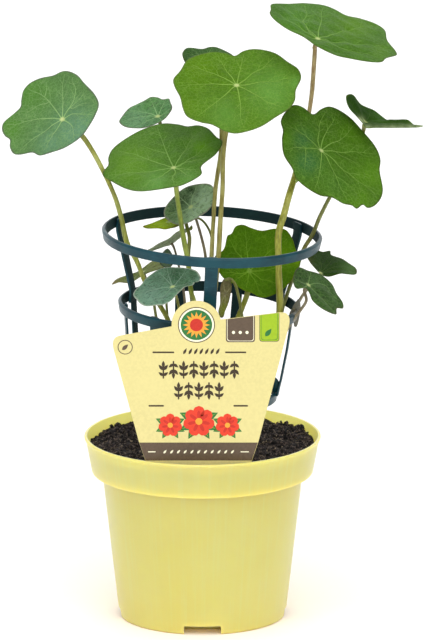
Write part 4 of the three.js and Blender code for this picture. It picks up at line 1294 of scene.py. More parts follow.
leaves["edge_on"] = {
    "hub": (-32, 373), "depth": 30, "tilt": 98, "lean": -30, "radius": 0.6,
    "outline": [
        (-52, 366), (-44, 371), (-34, 376), (-25, 383), (-12, 387), (-17, 382), (-24, 376), (-32, 370),
        (-39, 368), (-50, 364), (-56, 364)],
    "route": [(-16.6, 217, 5), (-17, 260, 8), (-18, 316, 12), (-22, 340, 19), (-26, 358, 25)],
    "tones": {
        "top": (128, 154, 104), "frost": (164, 186, 146), "glow": (130, 140, 70), "margin": (120, 126, 106),
        "under": (140, 156, 120)},
    "patches": [("frost", -30, 376, 14, 0.6)],
}
leaves["low_left_back"] = {
    "hub": (-60, 343), "depth": 40, "tilt": 76, "lean": -23, "radius": 0.7,
    "outline": [
        (-91, 330), (-86, 336), (-66, 343), (-50, 354), (-40, 352), (-37, 348), (-54, 342), (-62, 338),
        (-72, 332), (-86, 332)],
    "route": [(-26, 218, 7.6), (-36, 260, 11), (-46, 295, 15), (-49, 312, 18), (-55, 334, 27)],
    "tones": {
        "top": (96, 110, 41), "frost": (106, 117, 47), "glow": (83, 99, 25), "shade": (109, 82, 28),
        "margin": (97, 93, 42)},
    "patches": [("shade", -90, 331, 7, 1.0), ("glow", -62, 337, 9, 0.8), ("frost", -50, 352, 9, 0.8)],
}
leaves["low_left_front"] = {
    "hub": (-30, 328), "depth": -26, "tilt": 60, "lean": -22, "radius": 0.7,
    "outline": [
        (-50, 341), (-44, 345), (-36, 347), (-24, 347), (-14, 346), (-6, 343.5), (-2.5, 339), (-1.5, 335.5),
        (-4, 332.5), (-7, 333), (-9, 329.5), (-17, 327.5), (-22, 323), (-27, 318), (-32, 313), (-39, 309.5),
        (-46, 309), (-55, 308), (-60, 309.5), (-65, 314), (-69, 320), (-66.5, 325), (-61, 330),
        (-57, 335.5)],
    "route": [(-24, 211, 0.4), (-24, 262, -2), (-23, 300, -9), (-25, 314, -15)],
    "veins": [
        [(-37, 336), (-45, 343)], [(-33, 337), (-35, 345)], [(-22, 336), (-17, 344)],
        [(-18, 330), (-6, 332)], [(-41, 326), (-55, 323), (-67, 320)], [(-37, 320), (-47, 314), (-53, 310)],
        [(-25, 323), (-27, 318)]],
    "tones": {
        "vein": (124, 152, 128), "shade": (40, 78, 46), "top": (98, 136, 108), "frost": (106, 139, 121),
        "glow": (78, 114, 72), "margin": (168, 174, 160)},
    "patches": [
        ("shade", -26, 340, 14, 1.0), ("shade", -10, 340, 8, 0.9), ("shade", -46, 336, 9, 0.5),
        ("frost", -50, 318, 14, 0.8), ("glow", -18, 330, 7, 0.7), ("frost", -4, 335, 4, 0.9)],
}
leaves["inner_right"] = {
    "hub": (47, 344), "depth": 4, "tilt": 20, "lean": 11, "radius": 1.45,
    "outline": [
        (25, 379), (29, 381), (33, 388), (40, 390), (48, 387), (59, 384), (72, 386), (83, 385), (90, 376),
        (93, 366), (98, 353), (96, 345), (88, 333), (79, 324), (67, 318), (58, 317), (50, 321), (41, 324),
        (32, 330), (23, 334.5), (17.4, 341), (12, 357), (21, 365), (24, 376)],
    "route": [(8.3, 225, 5.6), (22, 265, 4), (36.9, 299.8, 3), (45.2, 322.5, 3.5)],
    "veins": [
        [(45, 359), (44, 370), (43, 382)], [(61, 357), (69, 365), (78, 370)],
        [(59, 344), (72, 346), (85, 350)], [(53, 340), (59, 335), (65, 334), (75, 330)],
        [(49, 339), (53, 333), (56, 324)], [(45, 333), (44, 328)], [(40, 339), (34, 335)],
        [(39, 341), (26, 342)], [(42, 354), (33, 364), (29, 372)]],
    "tones": {
        "top": (71, 113, 0), "frost": (108, 145, 6), "glow": (91, 132, 1), "shade": (55, 92, 0),
        "margin": (87, 110, 4), "vein": (110, 150, 42), "hub": (122, 157, 62)},
    "patches": [("shade", 26, 356, 13, 0.9), ("glow", 80, 358, 13, 0.9), ("frost", 95, 354, 5, 0.9)],
}
leaves["right_small"] = {
    "hub": (118, 342), "depth": 4, "tilt": 60, "lean": 18, "radius": 0.8,
    "outline": [
        (114, 365), (120, 363), (128, 364), (129, 360), (140, 356), (146, 352), (154, 346), (153, 340),
        (140, 341), (125, 338), (119, 341), (110, 349), (107, 353), (105, 358)],
    "route": [(76, 262, -6), (80, 276, -3), (86, 295, 0), (92.5, 306.5, 1), (97, 314, 1), (103.3, 323.6, 1)],
    "veins": [
        [(119, 350), (117, 356), (115, 362)], [(126, 350), (131, 356), (132, 360)],
        [(131, 347), (140, 349), (144, 350)], [(131, 344), (143, 345), (151, 344)], [(116, 349), (111, 353)],
        [(119, 341.6), (122, 341)]],
    "tones": {
        "vein": (60, 86, 32), "top": (34, 66, 4), "frost": (84, 116, 62), "glow": (42, 84, 3),
        "shade": (63, 68, 5), "margin": (70, 74, 11)},
    "patches": [("frost", 148, 345, 9, 0.9), ("shade", 106, 354, 6, 0.9)],
}
leaves["low_right"] = {
    "hub": (106, 330), "depth": -18, "tilt": 62, "lean": 41, "radius": 0.8,
    "outline": [
        (96, 347), (105, 344), (118, 340), (129, 331), (134, 321), (140, 312), (140, 306), (134, 306),
        (133, 300), (120, 305), (110, 313), (106, 322), (103, 326), (93, 326), (90, 333)],
    "route": [
        (71, 250, -12), (77, 265, -12.5), (82, 280, -13.5), (89, 293, -14.5), (98, 304.7, -15),
        (103.5, 314, -15.5)],
    "veins": [
        [(102, 331), (96, 333), (93, 335)], [(107, 337), (108, 341)], [(115, 331), (123, 329), (131, 317)],
        [(111, 324), (120, 314), (131, 303)], [(101, 327), (95, 326)]],
    "tones": {"top": (49, 81, 29), "frost": (64, 98, 48), "glow": (56, 89, 24), "margin": (75, 79, 45)},
    "patches": [("frost", 112, 332, 9, 0.6)],
}
leaves["withered"] = {
    "hub": (23, 321), "depth": -18, "tilt": 35, "lean": 30, "radius": 0.7, "hangs": True,
    "outline": [
        (22, 336), (25.5, 336), (29, 331), (28, 319.5), (25.7, 310.5), (22.5, 303), (21.1, 297.8),
        (18.5, 296.5), (15.8, 302.5), (17.5, 310.5), (17.5, 319.5), (18.1, 329)],
    "route": [
        (54, 228, -7), (44, 270, -9), (38, 308, -12), (35, 322, -13), (32, 331, -14.5), (27.5, 335.5, -16),
        (24, 334.5, -17)],
    "tones": {
        "top": (98, 92, 60), "frost": (122, 116, 82), "glow": (98, 112, 14), "margin": (84, 74, 50),
        "vein": (136, 132, 96), "hub": (104, 100, 70)},
    "patches": [("glow", 21, 304, 11, 1.0)],
}
leaves["tiny"] = {
    "hub": (-35, 354), "depth": 2, "tilt": 50, "lean": -10, "radius": 0.6,
    "outline": [(-40, 362), (-35, 366), (-30, 360), (-28, 353), (-34, 346), (-42, 350), (-43, 357)],
    "route": [(-30, 220, 4), (-33, 270, 8), (-36, 310, 9), (-37, 335, 6)],
    "tones": {
        "under": (112, 120, 112), "top": (84, 100, 84), "frost": (104, 116, 104), "glow": (90, 104, 84),
        "margin": (46, 54, 24), "vein": (70, 104, 44)},
    "patches": [],
}
growth = {
    "columnStep": 0.85, "rowStep": 0.85, "halfThickness": 0.2, "edgeThickness": 0.11, "fullSize": 26,
    "bigSize": 13, "funnel": 0.9, "funnelReach": 3.6, "puff": 0.55, "puffReach": 3.0, "groove": 0.12,
    "grooveReach": 1.1, "ripple": 0.45, "rippleLength": 15, "fineRipple": 0.1, "fineLength": 4.5,
    "wave": 0.9, "waveLength": 24, "veinWidth": 0.34, "veinStep": 1.1, "veinEnd": 0.965, "forkAngle": 34,
    "crest": 0.06, "ridge": 0.26, "stalkStep": 0.8, "stemStep": 0.9, "budHeight": 385,
}
leafSlots = {"inner_right": "leaf_bright", "young_tip": "leaf_bright", "withered": "leaf_withered"}
greyLeaves = ("left_small", "edge_on", "low_left_back", "low_left_front", "low_right")


# The way a blade's upper face looks.
def facing(leaf):
    tilt, lean = math.radians(leaf["tilt"]), math.radians(leaf["lean"])
    aside = math.sin(lean) * viewRight + math.cos(lean) * viewUp
    return -math.cos(tilt) * sightLine + math.sin(tilt) * aside


def hubOf(leaf):
    return gridPoint(*leaf["hub"], leaf["depth"])


# The place on a blade's flat plane that shows at a place of the front view.
def onBlade(leaf, across, up):
    hub = hubOf(leaf)
    normal = facing(leaf)
    point = gridPoint(across, up, leaf["depth"])
    return point - sightLine * ((point - hub) @ normal) / (sightLine @ normal)


# Slow smooth hills and hollows over a plane, between about -1 and 1.
def hills(x, y, length, seed):
    dice = np.random.default_rng(seed)
    total = np.zeros_like(x)
    for _ in range(7):
        turn, phase = dice.uniform(0, 2 * math.pi), dice.uniform(0, 2 * math.pi)
        stretch = dice.uniform(0.7, 1.5)
        total += np.sin((x * math.cos(turn) + y * math.sin(turn)) * 2 * math.pi * stretch / length + phase)
    return total / 3.2


# Lays out one blade: its rim in space and in its own plane, and its main veins in that plane.
def layOut(place, seed):
    leaf = leaves[place]
    hub = hubOf(leaf)
    rim = []
    for across, up, *behind in leaf["outline"]:
        rim.append(gridPoint(across, up, leaf["depth"] + behind[0]) if behind else onBlade(leaf, across, up))
    rim = throughPoints(rim, 10, True)
    around = pathLength(np.vstack([rim, rim[:1]]))
    rim = evenly(rim, max(48, int(around / growth["columnStep"])), True)
    spokes = rim - hub
    normal = unit(np.cross(spokes, np.roll(spokes, -1, axis=0)).sum(axis=0))
    if normal @ facing(leaf) < 0:
        rim, spokes, normal = rim[::-1], spokes[::-1], -normal
    if "hangs" not in leaf and len(leaf["outline"][0]) == 2:
        normal = facing(leaf)
    right = unit(viewRight - normal * (viewRight @ normal))
    forward = np.cross(normal, right)
    flat = np.column_stack([spokes @ right, spokes @ forward])
    turns = np.unwrap(np.arctan2(flat[:, 1], flat[:, 0]))
    blade = {
        "leaf": leaf, "hub": hub, "rim": rim, "normal": normal, "right": right, "forward": forward,
        "flat": flat, "turns": np.maximum.accumulate(turns), "seed": seed,
        "size": float(np.linalg.norm(flat, axis=1).mean())}
    blade["veins"] = mainVeins(blade)
    return blade


def planePlace(blade, point):
    return np.array([(point - blade["hub"]) @ blade["right"], (point - blade["hub"]) @ blade["forward"]])


# The column and share of the way to the rim of places in the blade's plane.
def polarPlace(blade, places):
    places = np.atleast_2d(places)
    count = len(blade["rim"])
    turns = np.append(blade["turns"], blade["turns"][0] + 2 * math.pi)
    angle = np.arctan2(places[:, 1], places[:, 0])
    angle = turns[0] + np.mod(angle - turns[0], 2 * math.pi)
    column = np.interp(angle, turns, np.arange(count + 1))
    reach = np.linalg.norm(places, axis=1) / np.maximum(np.linalg.norm(rimPlace(blade, column), axis=1), 1e-6)
    return column, reach


# Rows at columns that may lie between two of them.
def between(rows, column):
    count = len(rows)
    low = np.floor(column).astype(int)
    share = (column - low)[:, None]
    return rows[low % count] * (1 - share) + rows[(low + 1) % count] * share


def rimPlace(blade, column):
    return between(blade["flat"], np.asarray(column, float))


# The main veins in the blade's plane: those listed, or else some spread evenly round the hub.
def mainVeins(blade):
    leaf = blade["leaf"]
    dice = random.Random(blade["seed"])
    veins = []
    for line in leaf.get("veins", []):
        places = [np.zeros(2)] + [planePlace(blade, onBlade(leaf, *point)) for point in line]
        end, before = places[-1], places[-2]
        column, reach = polarPlace(blade, end)
        if reach[0] < 0.9:
            places.append(end + (rimPlace(blade, column)[0] * 0.94 - end) * 0.8)
        veins.append(evenly(throughPoints(places, 8), 30))
    if not veins:
        count = 9 if blade["size"] > 9 else 7
        total = len(blade["rim"])
        for index in range(count):
            column = np.array([(index + dice.uniform(-0.2, 0.2)) * total / count])
            tip = rimPlace(blade, column)[0] * 0.93
            sway = np.array([-tip[1], tip[0]]) * dice.uniform(-0.08, 0.08)
            veins.append(evenly(throughPoints([np.zeros(2), tip * 0.5 + sway, tip], 8), 24))
    return veins


# How far places in the blade's plane are from its nearest main vein.
def veinDistance(blade, x, y):
    nearest = np.full(len(x), 1e3)
    for vein in blade["veins"]:
        for start, end in zip(vein[:-1], vein[1:]):
            step = end - start
            ahead = (x - start[0]) * step[0] + (y - start[1]) * step[1]
            share = np.clip(ahead / (step @ step + 1e-9), 0, 1)
            gap = np.hypot(x - start[0] - share * step[0], y - start[1] - share * step[1])
            nearest = np.minimum(nearest, gap)
    return nearest


# Where the middle of the blade's thickness lies for columns and shares of the way to the rim.
def bladeSurface(blade, column, share):
    rim = between(blade["rim"], column)
    flat = between(blade["flat"], column) * share[:, None]
    x, y = flat[:, 0], flat[:, 1]
    size = min(1.0, blade["size"] / growth["fullSize"])
    apart = veinDistance(blade, x, y)
    reach = np.hypot(x, y)
    lift = -growth["funnel"] * size * np.exp(-(reach / growth["funnelReach"]) ** 2)
    swell = growth["puff"] * size * (1 - np.exp(-(apart / growth["puffReach"]) ** 2))
    lift += swell * np.sin(math.pi * np.clip(share, 0, 1) ** 0.8)
    sink = growth["groove"] * np.exp(-(apart / growth["grooveReach"]) ** 2)
    lift -= sink * np.clip(reach / 3, 0, 1) * (1 - share ** 4)
    ripple = hills(x, y, growth["rippleLength"], blade["seed"])
    fine = hills(x, y, growth["fineLength"], blade["seed"] + 50)
    lift += growth["ripple"] * size * ripple * (1 - share ** 6)
    lift += growth["fineRipple"] * size * fine * (1 - share ** 8)
    turn = np.arctan2(y, x)
    wave = growth["wave"] * size * share ** 3
    wave = wave * hills(18 * np.cos(turn), 18 * np.sin(turn), growth["waveLength"], blade["seed"] + 9)
    along = sightLine * np.sign(sightLine @ blade["normal"] + 1e-9)
    points = blade["hub"] + (rim - blade["hub"]) * share[:, None]
    return points + lift[:, None] * blade["normal"] + wave[:, None] * along, flat


# How much of each patchy tone a blade has at points on it. Most tones are painted light: frost is a
# painted bluish sheen, glow painted light shining through the blade and shade painted shade. A few patches
# hold the leaf's own colour instead: brown tips, the withered leaf's yellow-green and the pale underside
# along the folded leaf's lower rim.
def toneShares(blade, points):
    across = points @ viewRight / gridStep
    up = points @ viewUp / gridStep
    shares = {tone: np.zeros(len(points)) for tone in ("frost", "glow", "shade")}
    for tone, x, y, reach, strength in blade["leaf"]["patches"]:
        apart = ((across - x) ** 2 + (up - y) ** 2) / reach ** 2
        shares[tone] = np.maximum(shares[tone], strength * np.exp(-apart))
    return shares


# Half the blade's thickness at shares of the way to the rim.
def halfThickness(share):
    return growth["edgeThickness"] + (growth["halfThickness"] - growth["edgeThickness"]) * (1 - share ** 3)


# Adds a part of a blade, with the values that its finish reads: the place in the blade's plane, the distance
# from the hub and the patchy tones, besides the values given.
def addToBlade(shape, blade, points, faces, flats, **values):
    place = np.column_stack([flats, np.full(len(flats), blade["seed"] * 3.1)])
    addPart(shape, points, faces, 0, bladePlace=place, **values, hubGap=np.linalg.norm(flats, axis=1),
            **toneShares(blade, points))


def addBlade(shape, blade):
    count = len(blade["rim"])
    reach = np.linalg.norm(blade["flat"], axis=1).mean()
    rows = max(10, int(reach / growth["rowStep"]))
    shares = list(np.linspace(0.02, 1, rows, endpoint=False)) + [1 - 0.22 / reach]
    columns = np.arange(count, dtype=float)
    top, bottom, stored = [], [], []
    for share in shares:
        points, flat = bladeSurface(blade, columns, np.full(count, share))
        half = halfThickness(share)
        top.append(points + blade["normal"] * half)
        bottom.append(points - blade["normal"] * half)
        stored.append((flat, share))
    edge, edgeFlat = bladeSurface(blade, columns, np.ones(count))
    middle, _ = bladeSurface(blade, np.zeros(1), np.zeros(1))
    rise = blade["normal"] * growth["halfThickness"]
    rings = np.array(top + [edge] + bottom[::-1])
    points, faces = stackRings(rings, middle[0] + rise, middle[0] - rise)
    spans = np.linalg.norm(blade["flat"], axis=1)
    order = stored + [(edgeFlat, 1.0)] + stored[::-1]
    flats = np.vstack([flat for flat, _ in order] + [np.zeros((2, 2))])
    edges = np.concatenate([(1 - share) * spans for _, share in order] + [[reach, reach]])
    side = count * len(top)
    under = np.concatenate([np.zeros(side), np.full(count, 0.5), np.ones(side), [0, 1]])
    addToBlade(shape, blade, points, faces, flats, rimGap=edges, under=under, vein=np.zeros(len(points)))


# A slim ridge along places in the blade's plane, showing a little above it and more below.
def addVein(shape, blade, places, width, endWidth, glow, endGlow):
    length = pathLength(places)
    if length < 0.8:
        return
    places = evenly(places, max(4, int(length / growth["veinStep"])))
    column, share = polarPlace(blade, places)
    keep = share < growth["veinEnd"]
    if keep.sum() < 4:
        return
    column, share, places = column[keep], share[keep], places[keep]
    middle, _ = bladeSurface(blade, column, share)
    ahead = unit(np.gradient(middle, axis=0))
    across = unit(np.cross(blade["normal"], ahead))
    along = np.linspace(0, 1, len(middle))
    wide = (width + (endWidth - width) * along ** 0.8)[:, None]
    half = halfThickness(share)[:, None]
    crest = growth["crest"] * (0.5 + 0.5 * wide / growth["veinWidth"])
    ridge = growth["ridge"] * wide / growth["veinWidth"]
    section = [(1, half - 0.02), (0.78, half + crest * 0.75), (0, half + crest), (-0.78, half + crest * 0.75),
               (-1, half - 0.02), (-0.7, -half - 0.02), (0, -half - ridge), (0.7, -half - 0.02)]
    rings = np.stack([middle + across * wide * side + blade["normal"] * height
                      for side, height in section], axis=1)
    points, faces = stackRings(rings, rings[0].mean(axis=0), rings[-1].mean(axis=0))
    corners = len(section)
    paleness = np.append(np.repeat(glow + (endGlow - glow) * along, corners), [glow, endGlow])
    flats = np.vstack([np.repeat(places, corners, axis=0), places[:1], places[-1:]])
    below = np.append(np.tile([0, 0, 0, 0, 0, 1, 1, 1], len(middle)), [0, 0])
    awayFromRim = np.full(len(points), 5.0)
    addToBlade(shape, blade, points, faces, flats, rimGap=awayFromRim, under=below, vein=paleness)


def turned(vector, degrees):
    angle = math.radians(degrees)
    return np.array([vector[0] * math.cos(angle) - vector[1] * math.sin(angle),
                     vector[0] * math.sin(angle) + vector[1] * math.cos(angle)])


# Side veins that leave a vein on both sides in turn and bend towards the rim.
def addForks(shape, blade, vein, dice, width, glow, starts, deeper):
    length = pathLength(vein)
    for index, start in enumerate(starts):
        at = int(start * (len(vein) - 1))
        ahead = unit(vein[min(at + 1, len(vein) - 1)] - vein[max(at - 1, 0)])
        side = (1 if index % 2 else -1) * dice.uniform(0.8, 1.2)
        reach = length * dice.uniform(0.26, 0.4) * (1.15 - 0.5 * start)
        first = turned(ahead, side * growth["forkAngle"]) * reach * 0.55
        second = turned(ahead, side * growth["forkAngle"] * 0.55) * reach * 0.6
        fork = evenly(throughPoints([vein[at], vein[at] + first, vein[at] + first + second], 8), 20)
        addVein(shape, blade, fork, width, width * 0.45, glow, glow * 0.25)
        if deeper:
            addForks(shape, blade, fork, dice, width * 0.62, glow * 0.55, (0.35, 0.62), False)


def cellEdges(tree, place, scale):
    inputs = {"Vector": place, "Scale": scale}
    return addNode(tree, "ShaderNodeTexVoronoi", inputs, feature="DISTANCE_TO_EDGE").outputs[0]


def makeLeafFinish(place, tones):
    material, tree, shader = startMaterial(f"blade_{place}", **{
        "Specular IOR Level": tones.get("shine", 0.06),
        "Subsurface Weight": 0.12, "Subsurface Radius": (0.0006, 0.0012, 0.0003)})
    top = tones["top"]
    deep = tuple(part * 0.9 for part in top)
    pale = tuple(min(255, part * 1.1 + 6) for part in top)
    vein = tones.get("vein", tuple(min(255, part * 0.72 + extra) for part, extra in zip(top, (74, 80, 60))))
    hub = tones.get("hub", (196, 208, 140))
    under = tones.get("under", tuple(part * 0.6 + extra for part, extra in zip(top, (66, 72, 58))))
    plane = storedPlace(tree, "bladePlace")
    broad = cloudy(tree, plane, 0.085, 4.0, 0.55, 0.4)
    blotch = cloudy(tree, plane, 0.42, 4.0, 0.6)
    grain = cloudy(tree, plane, 2.6, 3.0, 0.65)
    colour = mixed(tree, remap(tree, broad, 0.34, 0.66, 0.0, 0.75), paint(*deep), paint(*top))
    colour = mixed(tree, remap(tree, blotch, 0.5, 0.74, 0.0, 0.55), colour, paint(*pale))
    mottled = place in greyLeaves or place == "inner_left"
    if mottled:
        mottle = cloudy(tree, plane, 0.55, 5.0, 0.7, 0.8)
        lighter = paint(*(part * 1.18 + 6 for part in top))
        colour = mixed(tree, remap(tree, mottle, 0.52, 0.64, 0.0, 0.6), colour, lighter)
    # the patches mix painted light and shade into the colour: a bluish sheen, light shining through the blade
    # and shade
    for tone in ("frost", "glow", "shade"):
        if tone in tones:
            ragged = remap(tree, blotch, 0.25, 0.6, 0.72, 1.0)
            patch = calc(tree, "MULTIPLY", storedValue(tree, tone), ragged, True)
            colour = mixed(tree, patch, colour, paint(*tones[tone]))
    if mottled:
        dim = paint(*(part * 0.5 for part in top))
        colour = mixed(tree, remap(tree, mottle, 0.49, 0.38, 0.0, 0.7), colour, dim)
    # the finest veins are a net of two sizes of cells
    sway = addNode(tree, "ShaderNodeTexNoise", {"Vector": plane, "Scale": 0.6, "Detail": 2.0})
    moved = {0: plane, 1: sway.outputs["Color"]}
    bent = addNode(tree, "ShaderNodeVectorMath", moved, operation="ADD").outputs[0]
    cells = remap(tree, cellEdges(tree, bent, 0.5), 0.0, 0.11, 0.34, 0.0)
    small = remap(tree, cellEdges(tree, bent, 1.15), 0.0, 0.13, 0.16, 0.0)
    net = calc(tree, "ADD", cells, small)
    net = calc(tree, "MULTIPLY", net, remap(tree, broad, 0.3, 0.7, 0.5, 1.0))
    colour = mixed(tree, net, colour, paint(*vein))
    specks = remap(tree, grain, 0.62, 0.74, 0.0, 0.3)
    colour = mixed(tree, specks, colour, paint(*pale))
    uneven = calc(tree, "MULTIPLY", calc(tree, "SUBTRACT", blotch, 0.5), 1.6)
    edge = calc(tree, "ADD", storedValue(tree, "rimGap"), uneven)
    colour = mixed(tree, remap(tree, edge, 0.1, 1.15, 0.85, 0.0), colour, paint(*tones["margin"]))
    colour = mixed(tree, storedValue(tree, "vein"), colour, paint(*vein))
    colour = mixed(tree, remap(tree, storedValue(tree, "hubGap"), 0.4, 1.9, 0.85, 0.0), colour, paint(*hub))
    darker = paint(*(part * 0.86 for part in under))
    below = mixed(tree, remap(tree, broad, 0.35, 0.7, 0.0, 0.5), paint(*under), darker)
    veined = calc(tree, "ADD", net, calc(tree, "MULTIPLY", storedValue(tree, "vein"), 0.7), True)
    below = mixed(tree, veined, below, paint(*(min(255, part * 0.8 + 56) for part in under)))
    colour = mixed(tree, storedValue(tree, "under"), colour, below)
    dull = calc(tree, "MULTIPLY", storedValue(tree, "under"), 0.1)
    rough = calc(tree, "ADD", remap(tree, grain, 0.3, 0.7, 0.46, 0.62), dull)
    coat(tree, shader, colour, rough)
    height = calc(tree, "ADD", calc(tree, "MULTIPLY", net, -1.6), calc(tree, "MULTIPLY", grain, 0.3))
    height = calc(tree, "ADD", height, calc(tree, "MULTIPLY", blotch, 0.9))
    relief(tree, shader, height, 0.5, 0.35)
    return material


def makeLeaf(place, blade, seed):
    leaf = leaves[place]
    dice = random.Random(seed * 7 + 1)
    shape = newShape()
    addBlade(shape, blade)
    big = blade["size"] > growth["bigSize"]
    wide = growth["veinWidth"] * (1.0 if big else 0.72)
    forkPlaces = (0.42, 0.55, 0.68, 0.8) if big else (0.5, 0.7)
    for vein in blade["veins"]:
        addVein(shape, blade, vein, wide, wide * 0.42, 1.0, 0.45)
        addForks(shape, blade, vein, dice, wide * 0.5, 0.62, forkPlaces, big)
    for line in leaf.get("branches", []):
        places = np.array([planePlace(blade, onBlade(leaf, *point)) for point in line])
        onVeins = np.vstack(blade["veins"])
        start = onVeins[np.linalg.norm(onVeins - places[0], axis=1).argmin()]
        branch = evenly(throughPoints([start, *places], 8), 24)
        addVein(shape, blade, branch, wide * 0.7, wide * 0.4, 0.85, 0.4)
        addForks(shape, blade, branch, dice, wide * 0.42, 0.5, (0.45, 0.7), True)
    piece = makePiece(f"blade_{place}", shape, [makeLeafFinish(place, leaf["tones"])])
    slot = leafSlots.get(place, "leaf_grey" if place in greyLeaves else "leaf_green")
    settle(piece, slot, f"leaf_{place}")
    return len(piece.data.polygons)


# Each has a main, a pale and a dark tone.
stalkTones = {
    "green": ((150, 152, 52), (172, 176, 98), (112, 120, 28)),
    "fresh": ((141, 156, 58), (168, 178, 88), (100, 116, 26)),
    "dark": ((102, 112, 24), (128, 136, 52), (74, 82, 16)),
    "grey": ((110, 101, 80), (140, 130, 100), (82, 72, 54)),
    "olive": ((156, 151, 74), (178, 172, 106), (126, 116, 44)),
    "thick": ((162, 162, 62), (186, 184, 96), (122, 122, 34)),
    "brown": ((164, 146, 98), (188, 174, 124), (134, 110, 68)),
    "mid": ((122, 127, 60), (148, 152, 86), (90, 92, 36)),
    "pale": ((150, 172, 80), (178, 194, 110), (108, 130, 46)),
    "ashen": ((146, 136, 108), (172, 162, 134), (108, 96, 72)),
}
stalkFinishes = {
    "far_left": "green", "left_broad": "fresh", "top_centre": "olive", "behind_centre": "olive",
    "left_small": "dark", "top_right": "brown", "right_broad": "pale", "far_right_folded": "mid",
    "inner_left": "grey", "young_tip": "dark", "edge_on": "grey", "low_left_back": "mid",
    "low_left_front": "green", "inner_right": "green", "right_small": "ashen", "low_right": "ashen",
    "withered": "mid", "tiny": "dark",
}
stemPaths = {
    "left": [(-11, 4, 76), (-11, 4, 96), (-12, 4, 119)],
    "centre": [(1.5, 9, 76), (1.5, 9, 96), (1.5, 8, 128)],
    "right": [(20, -2, 76), (20, -2, 96)] + [tuple(gridPoint(*point)) for point in (
        (60, 225, -6), (73, 275, -10), (77, 303, -12), (76, 345, -13), (76, 381, -10), (81, 399, -6),
        (87, 421, -2), (92, 437, 3), (97, 455, 8))],
}
stemRadii = {"left": 1.8, "centre": 1.9, "right": 1.7}


def makeStalkFinish(name, main, pale, dark):
    material, tree, shader = startMaterial(f"stalk_{name}", **{
        "Specular IOR Level": 0.45, "Subsurface Weight": 0.1, "Subsurface Radius": (0.0012, 0.0014, 0.0005)})
    place = objectPlace(tree)
    streaks = cloudy(tree, objectPlace(tree, (1, 1, 0.12)), 900.0, 4.0, 0.6)
    clouds = cloudy(tree, place, 110.0, 3.0)
    grain = cloudy(tree, place, 1500.0, 2.0)
    colour = mixed(tree, remap(tree, streaks, 0.36, 0.66), paint(*dark), paint(*main))
    colour = mixed(tree, remap(tree, clouds, 0.42, 0.72, 0.0, 0.7), colour, paint(*pale))
    flush = remap(tree, cloudy(tree, place, 60.0, 2.0), 0.52, 0.7, 0.0, 0.16)
    colour = mixed(tree, flush, colour, paint(128, 96, 62))
    coat(tree, shader, colour, remap(tree, grain, 0.3, 0.7, 0.38, 0.55))
    relief(tree, shader, calc(tree, "ADD", streaks, calc(tree, "MULTIPLY", grain, 0.4)), 0.4, 0.25)
    return material


# A rod with slight ribs and swellings, as stalks have.
def bumpyRod(path, radii, sides, seed):
    rings, ends = rodRings(path, radii, sides)
    centres = rings.mean(axis=1, keepdims=True)
    rows = np.arange(len(rings))[:, None] * 0.55
    turns = np.arange(sides)[None, :] * 2 * math.pi / sides
    bumps = 0.035 * hills(rows + 0 * turns, 3 * np.cos(turns) + 0 * rows, 9, seed)
    finer = 0.02 * hills(rows * 3 + 0 * turns, 3 * np.sin(turns) + 0 * rows, 5, seed + 3)
    bumps += finer + 0.02 * np.cos(4 * turns)
    rings = centres + (rings - centres) * (1 + bumps)[..., None]
    return stackRings(rings, *ends, flip=True)


def makeStems(finishes):
    for number, (side, path) in enumerate(stemPaths.items()):
        line = throughPoints(path, 16)
        line = evenly(line, int(pathLength(line) / growth["stemStep"]))
        rise = np.linspace(0, 1, len(line))
        radii = stemRadii[side] * (1.06 - 0.12 * rise + 0.03 * np.sin(rise * 23 + number))
        shape = newShape()
        addPart(shape, *bumpyRod(line, radii, 20, 40 + number))
        piece = makePiece(f"main_stem_{side}", shape, [finishes["thick" if side == "right" else "green"]])
        settle(piece, "stalk", f"stem_{side}")


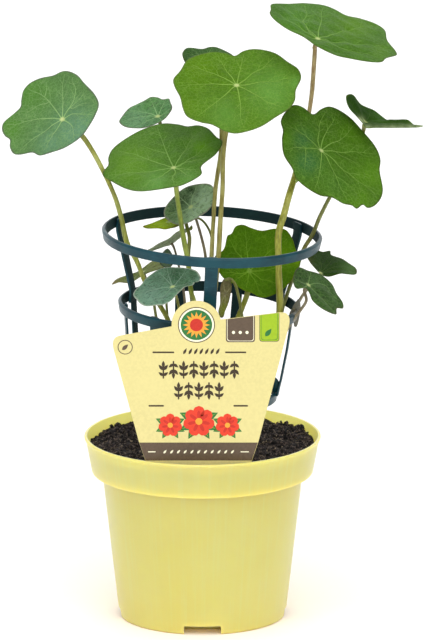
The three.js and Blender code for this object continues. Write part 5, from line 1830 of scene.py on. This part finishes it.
# The stem that a stalk grows from, as a place on its axis a little below the stalk's first point.
def rootOf(first, drop):
    best = None
    for path in stemPaths.values():
        line = evenly(throughPoints(path, 16), 120)
        line = line[line[:, 2] < first[2] - 1]
        gaps = np.linalg.norm(line[:, :2] - first[:2], axis=1) + np.abs(line[:, 2] - (first[2] - drop)) * 0.6
        if len(line) and (best is None or gaps.min() < best[0]):
            best = (gaps.min(), line[gaps.argmin()])
    return best[1]


def makeStalk(place, blade, finish, seed):
    leaf = leaves[place]
    points = [gridPoint(*point) for point in leaf["route"]]
    radius = leaf["radius"]
    if "hangs" not in leaf:
        hub = hubOf(leaf)
        under = -facing(leaf)
        sunk = growth["funnel"] * min(1.0, blade["size"] / growth["fullSize"]) + growth["halfThickness"]
        points += [hub + under * (sunk + min(5, radius * 4)), hub + under * (sunk + 1.15 * radius)]
    points.insert(0, rootOf(points[0], 7))
    line = throughPoints(points, 14)
    line = evenly(line, max(30, int(pathLength(line) / growth["stalkStep"])))
    gone = np.arange(len(line)) * growth["stalkStep"]
    left = gone[::-1]
    swelling = 1 + 0.22 * np.exp(-gone / 4) + 0.25 * np.exp(-(left / 1.6) ** 2)
    radii = radius * (swelling - 0.05 * np.sin(gone / 9 + seed))
    shape = newShape()
    addPart(shape, *bumpyRod(line, radii, 16, seed))
    if place == "left_small":  # a small bud on a short stalk of its own
        foot = line[np.argmin(np.abs(line @ viewUp / gridStep - growth["budHeight"]))]
        bend, tip = foot + viewRight * 1.3 + viewUp * 0.4, foot + viewRight * 2.0 + viewUp * 2.4
        budRadii = np.array([0.3, 0.32, 0.4, 0.62, 0.85, 0.9, 0.78, 0.5, 0.22])
        bud = evenly(np.array([foot, bend, tip]), len(budRadii))
        addPart(shape, *bumpyRod(bud, budRadii, 12, 77))
    piece = makePiece(f"leafstalk_{place}", shape, [finish])
    settle(piece, "stalk", f"stalk_{place}")


def makePlant():
    finishes = {name: makeStalkFinish(name, *tones) for name, tones in stalkTones.items()}
    makeStems(finishes)
    faces = 0
    for seed, place in enumerate(leaves):
        blade = layOut(place, seed + 1)
        faces += makeLeaf(place, blade, seed + 1)
        makeStalk(place, blade, finishes[stalkFinishes[place]], seed + 1)
    print("leaf faces", faces)


makePlant()
print("plant made")
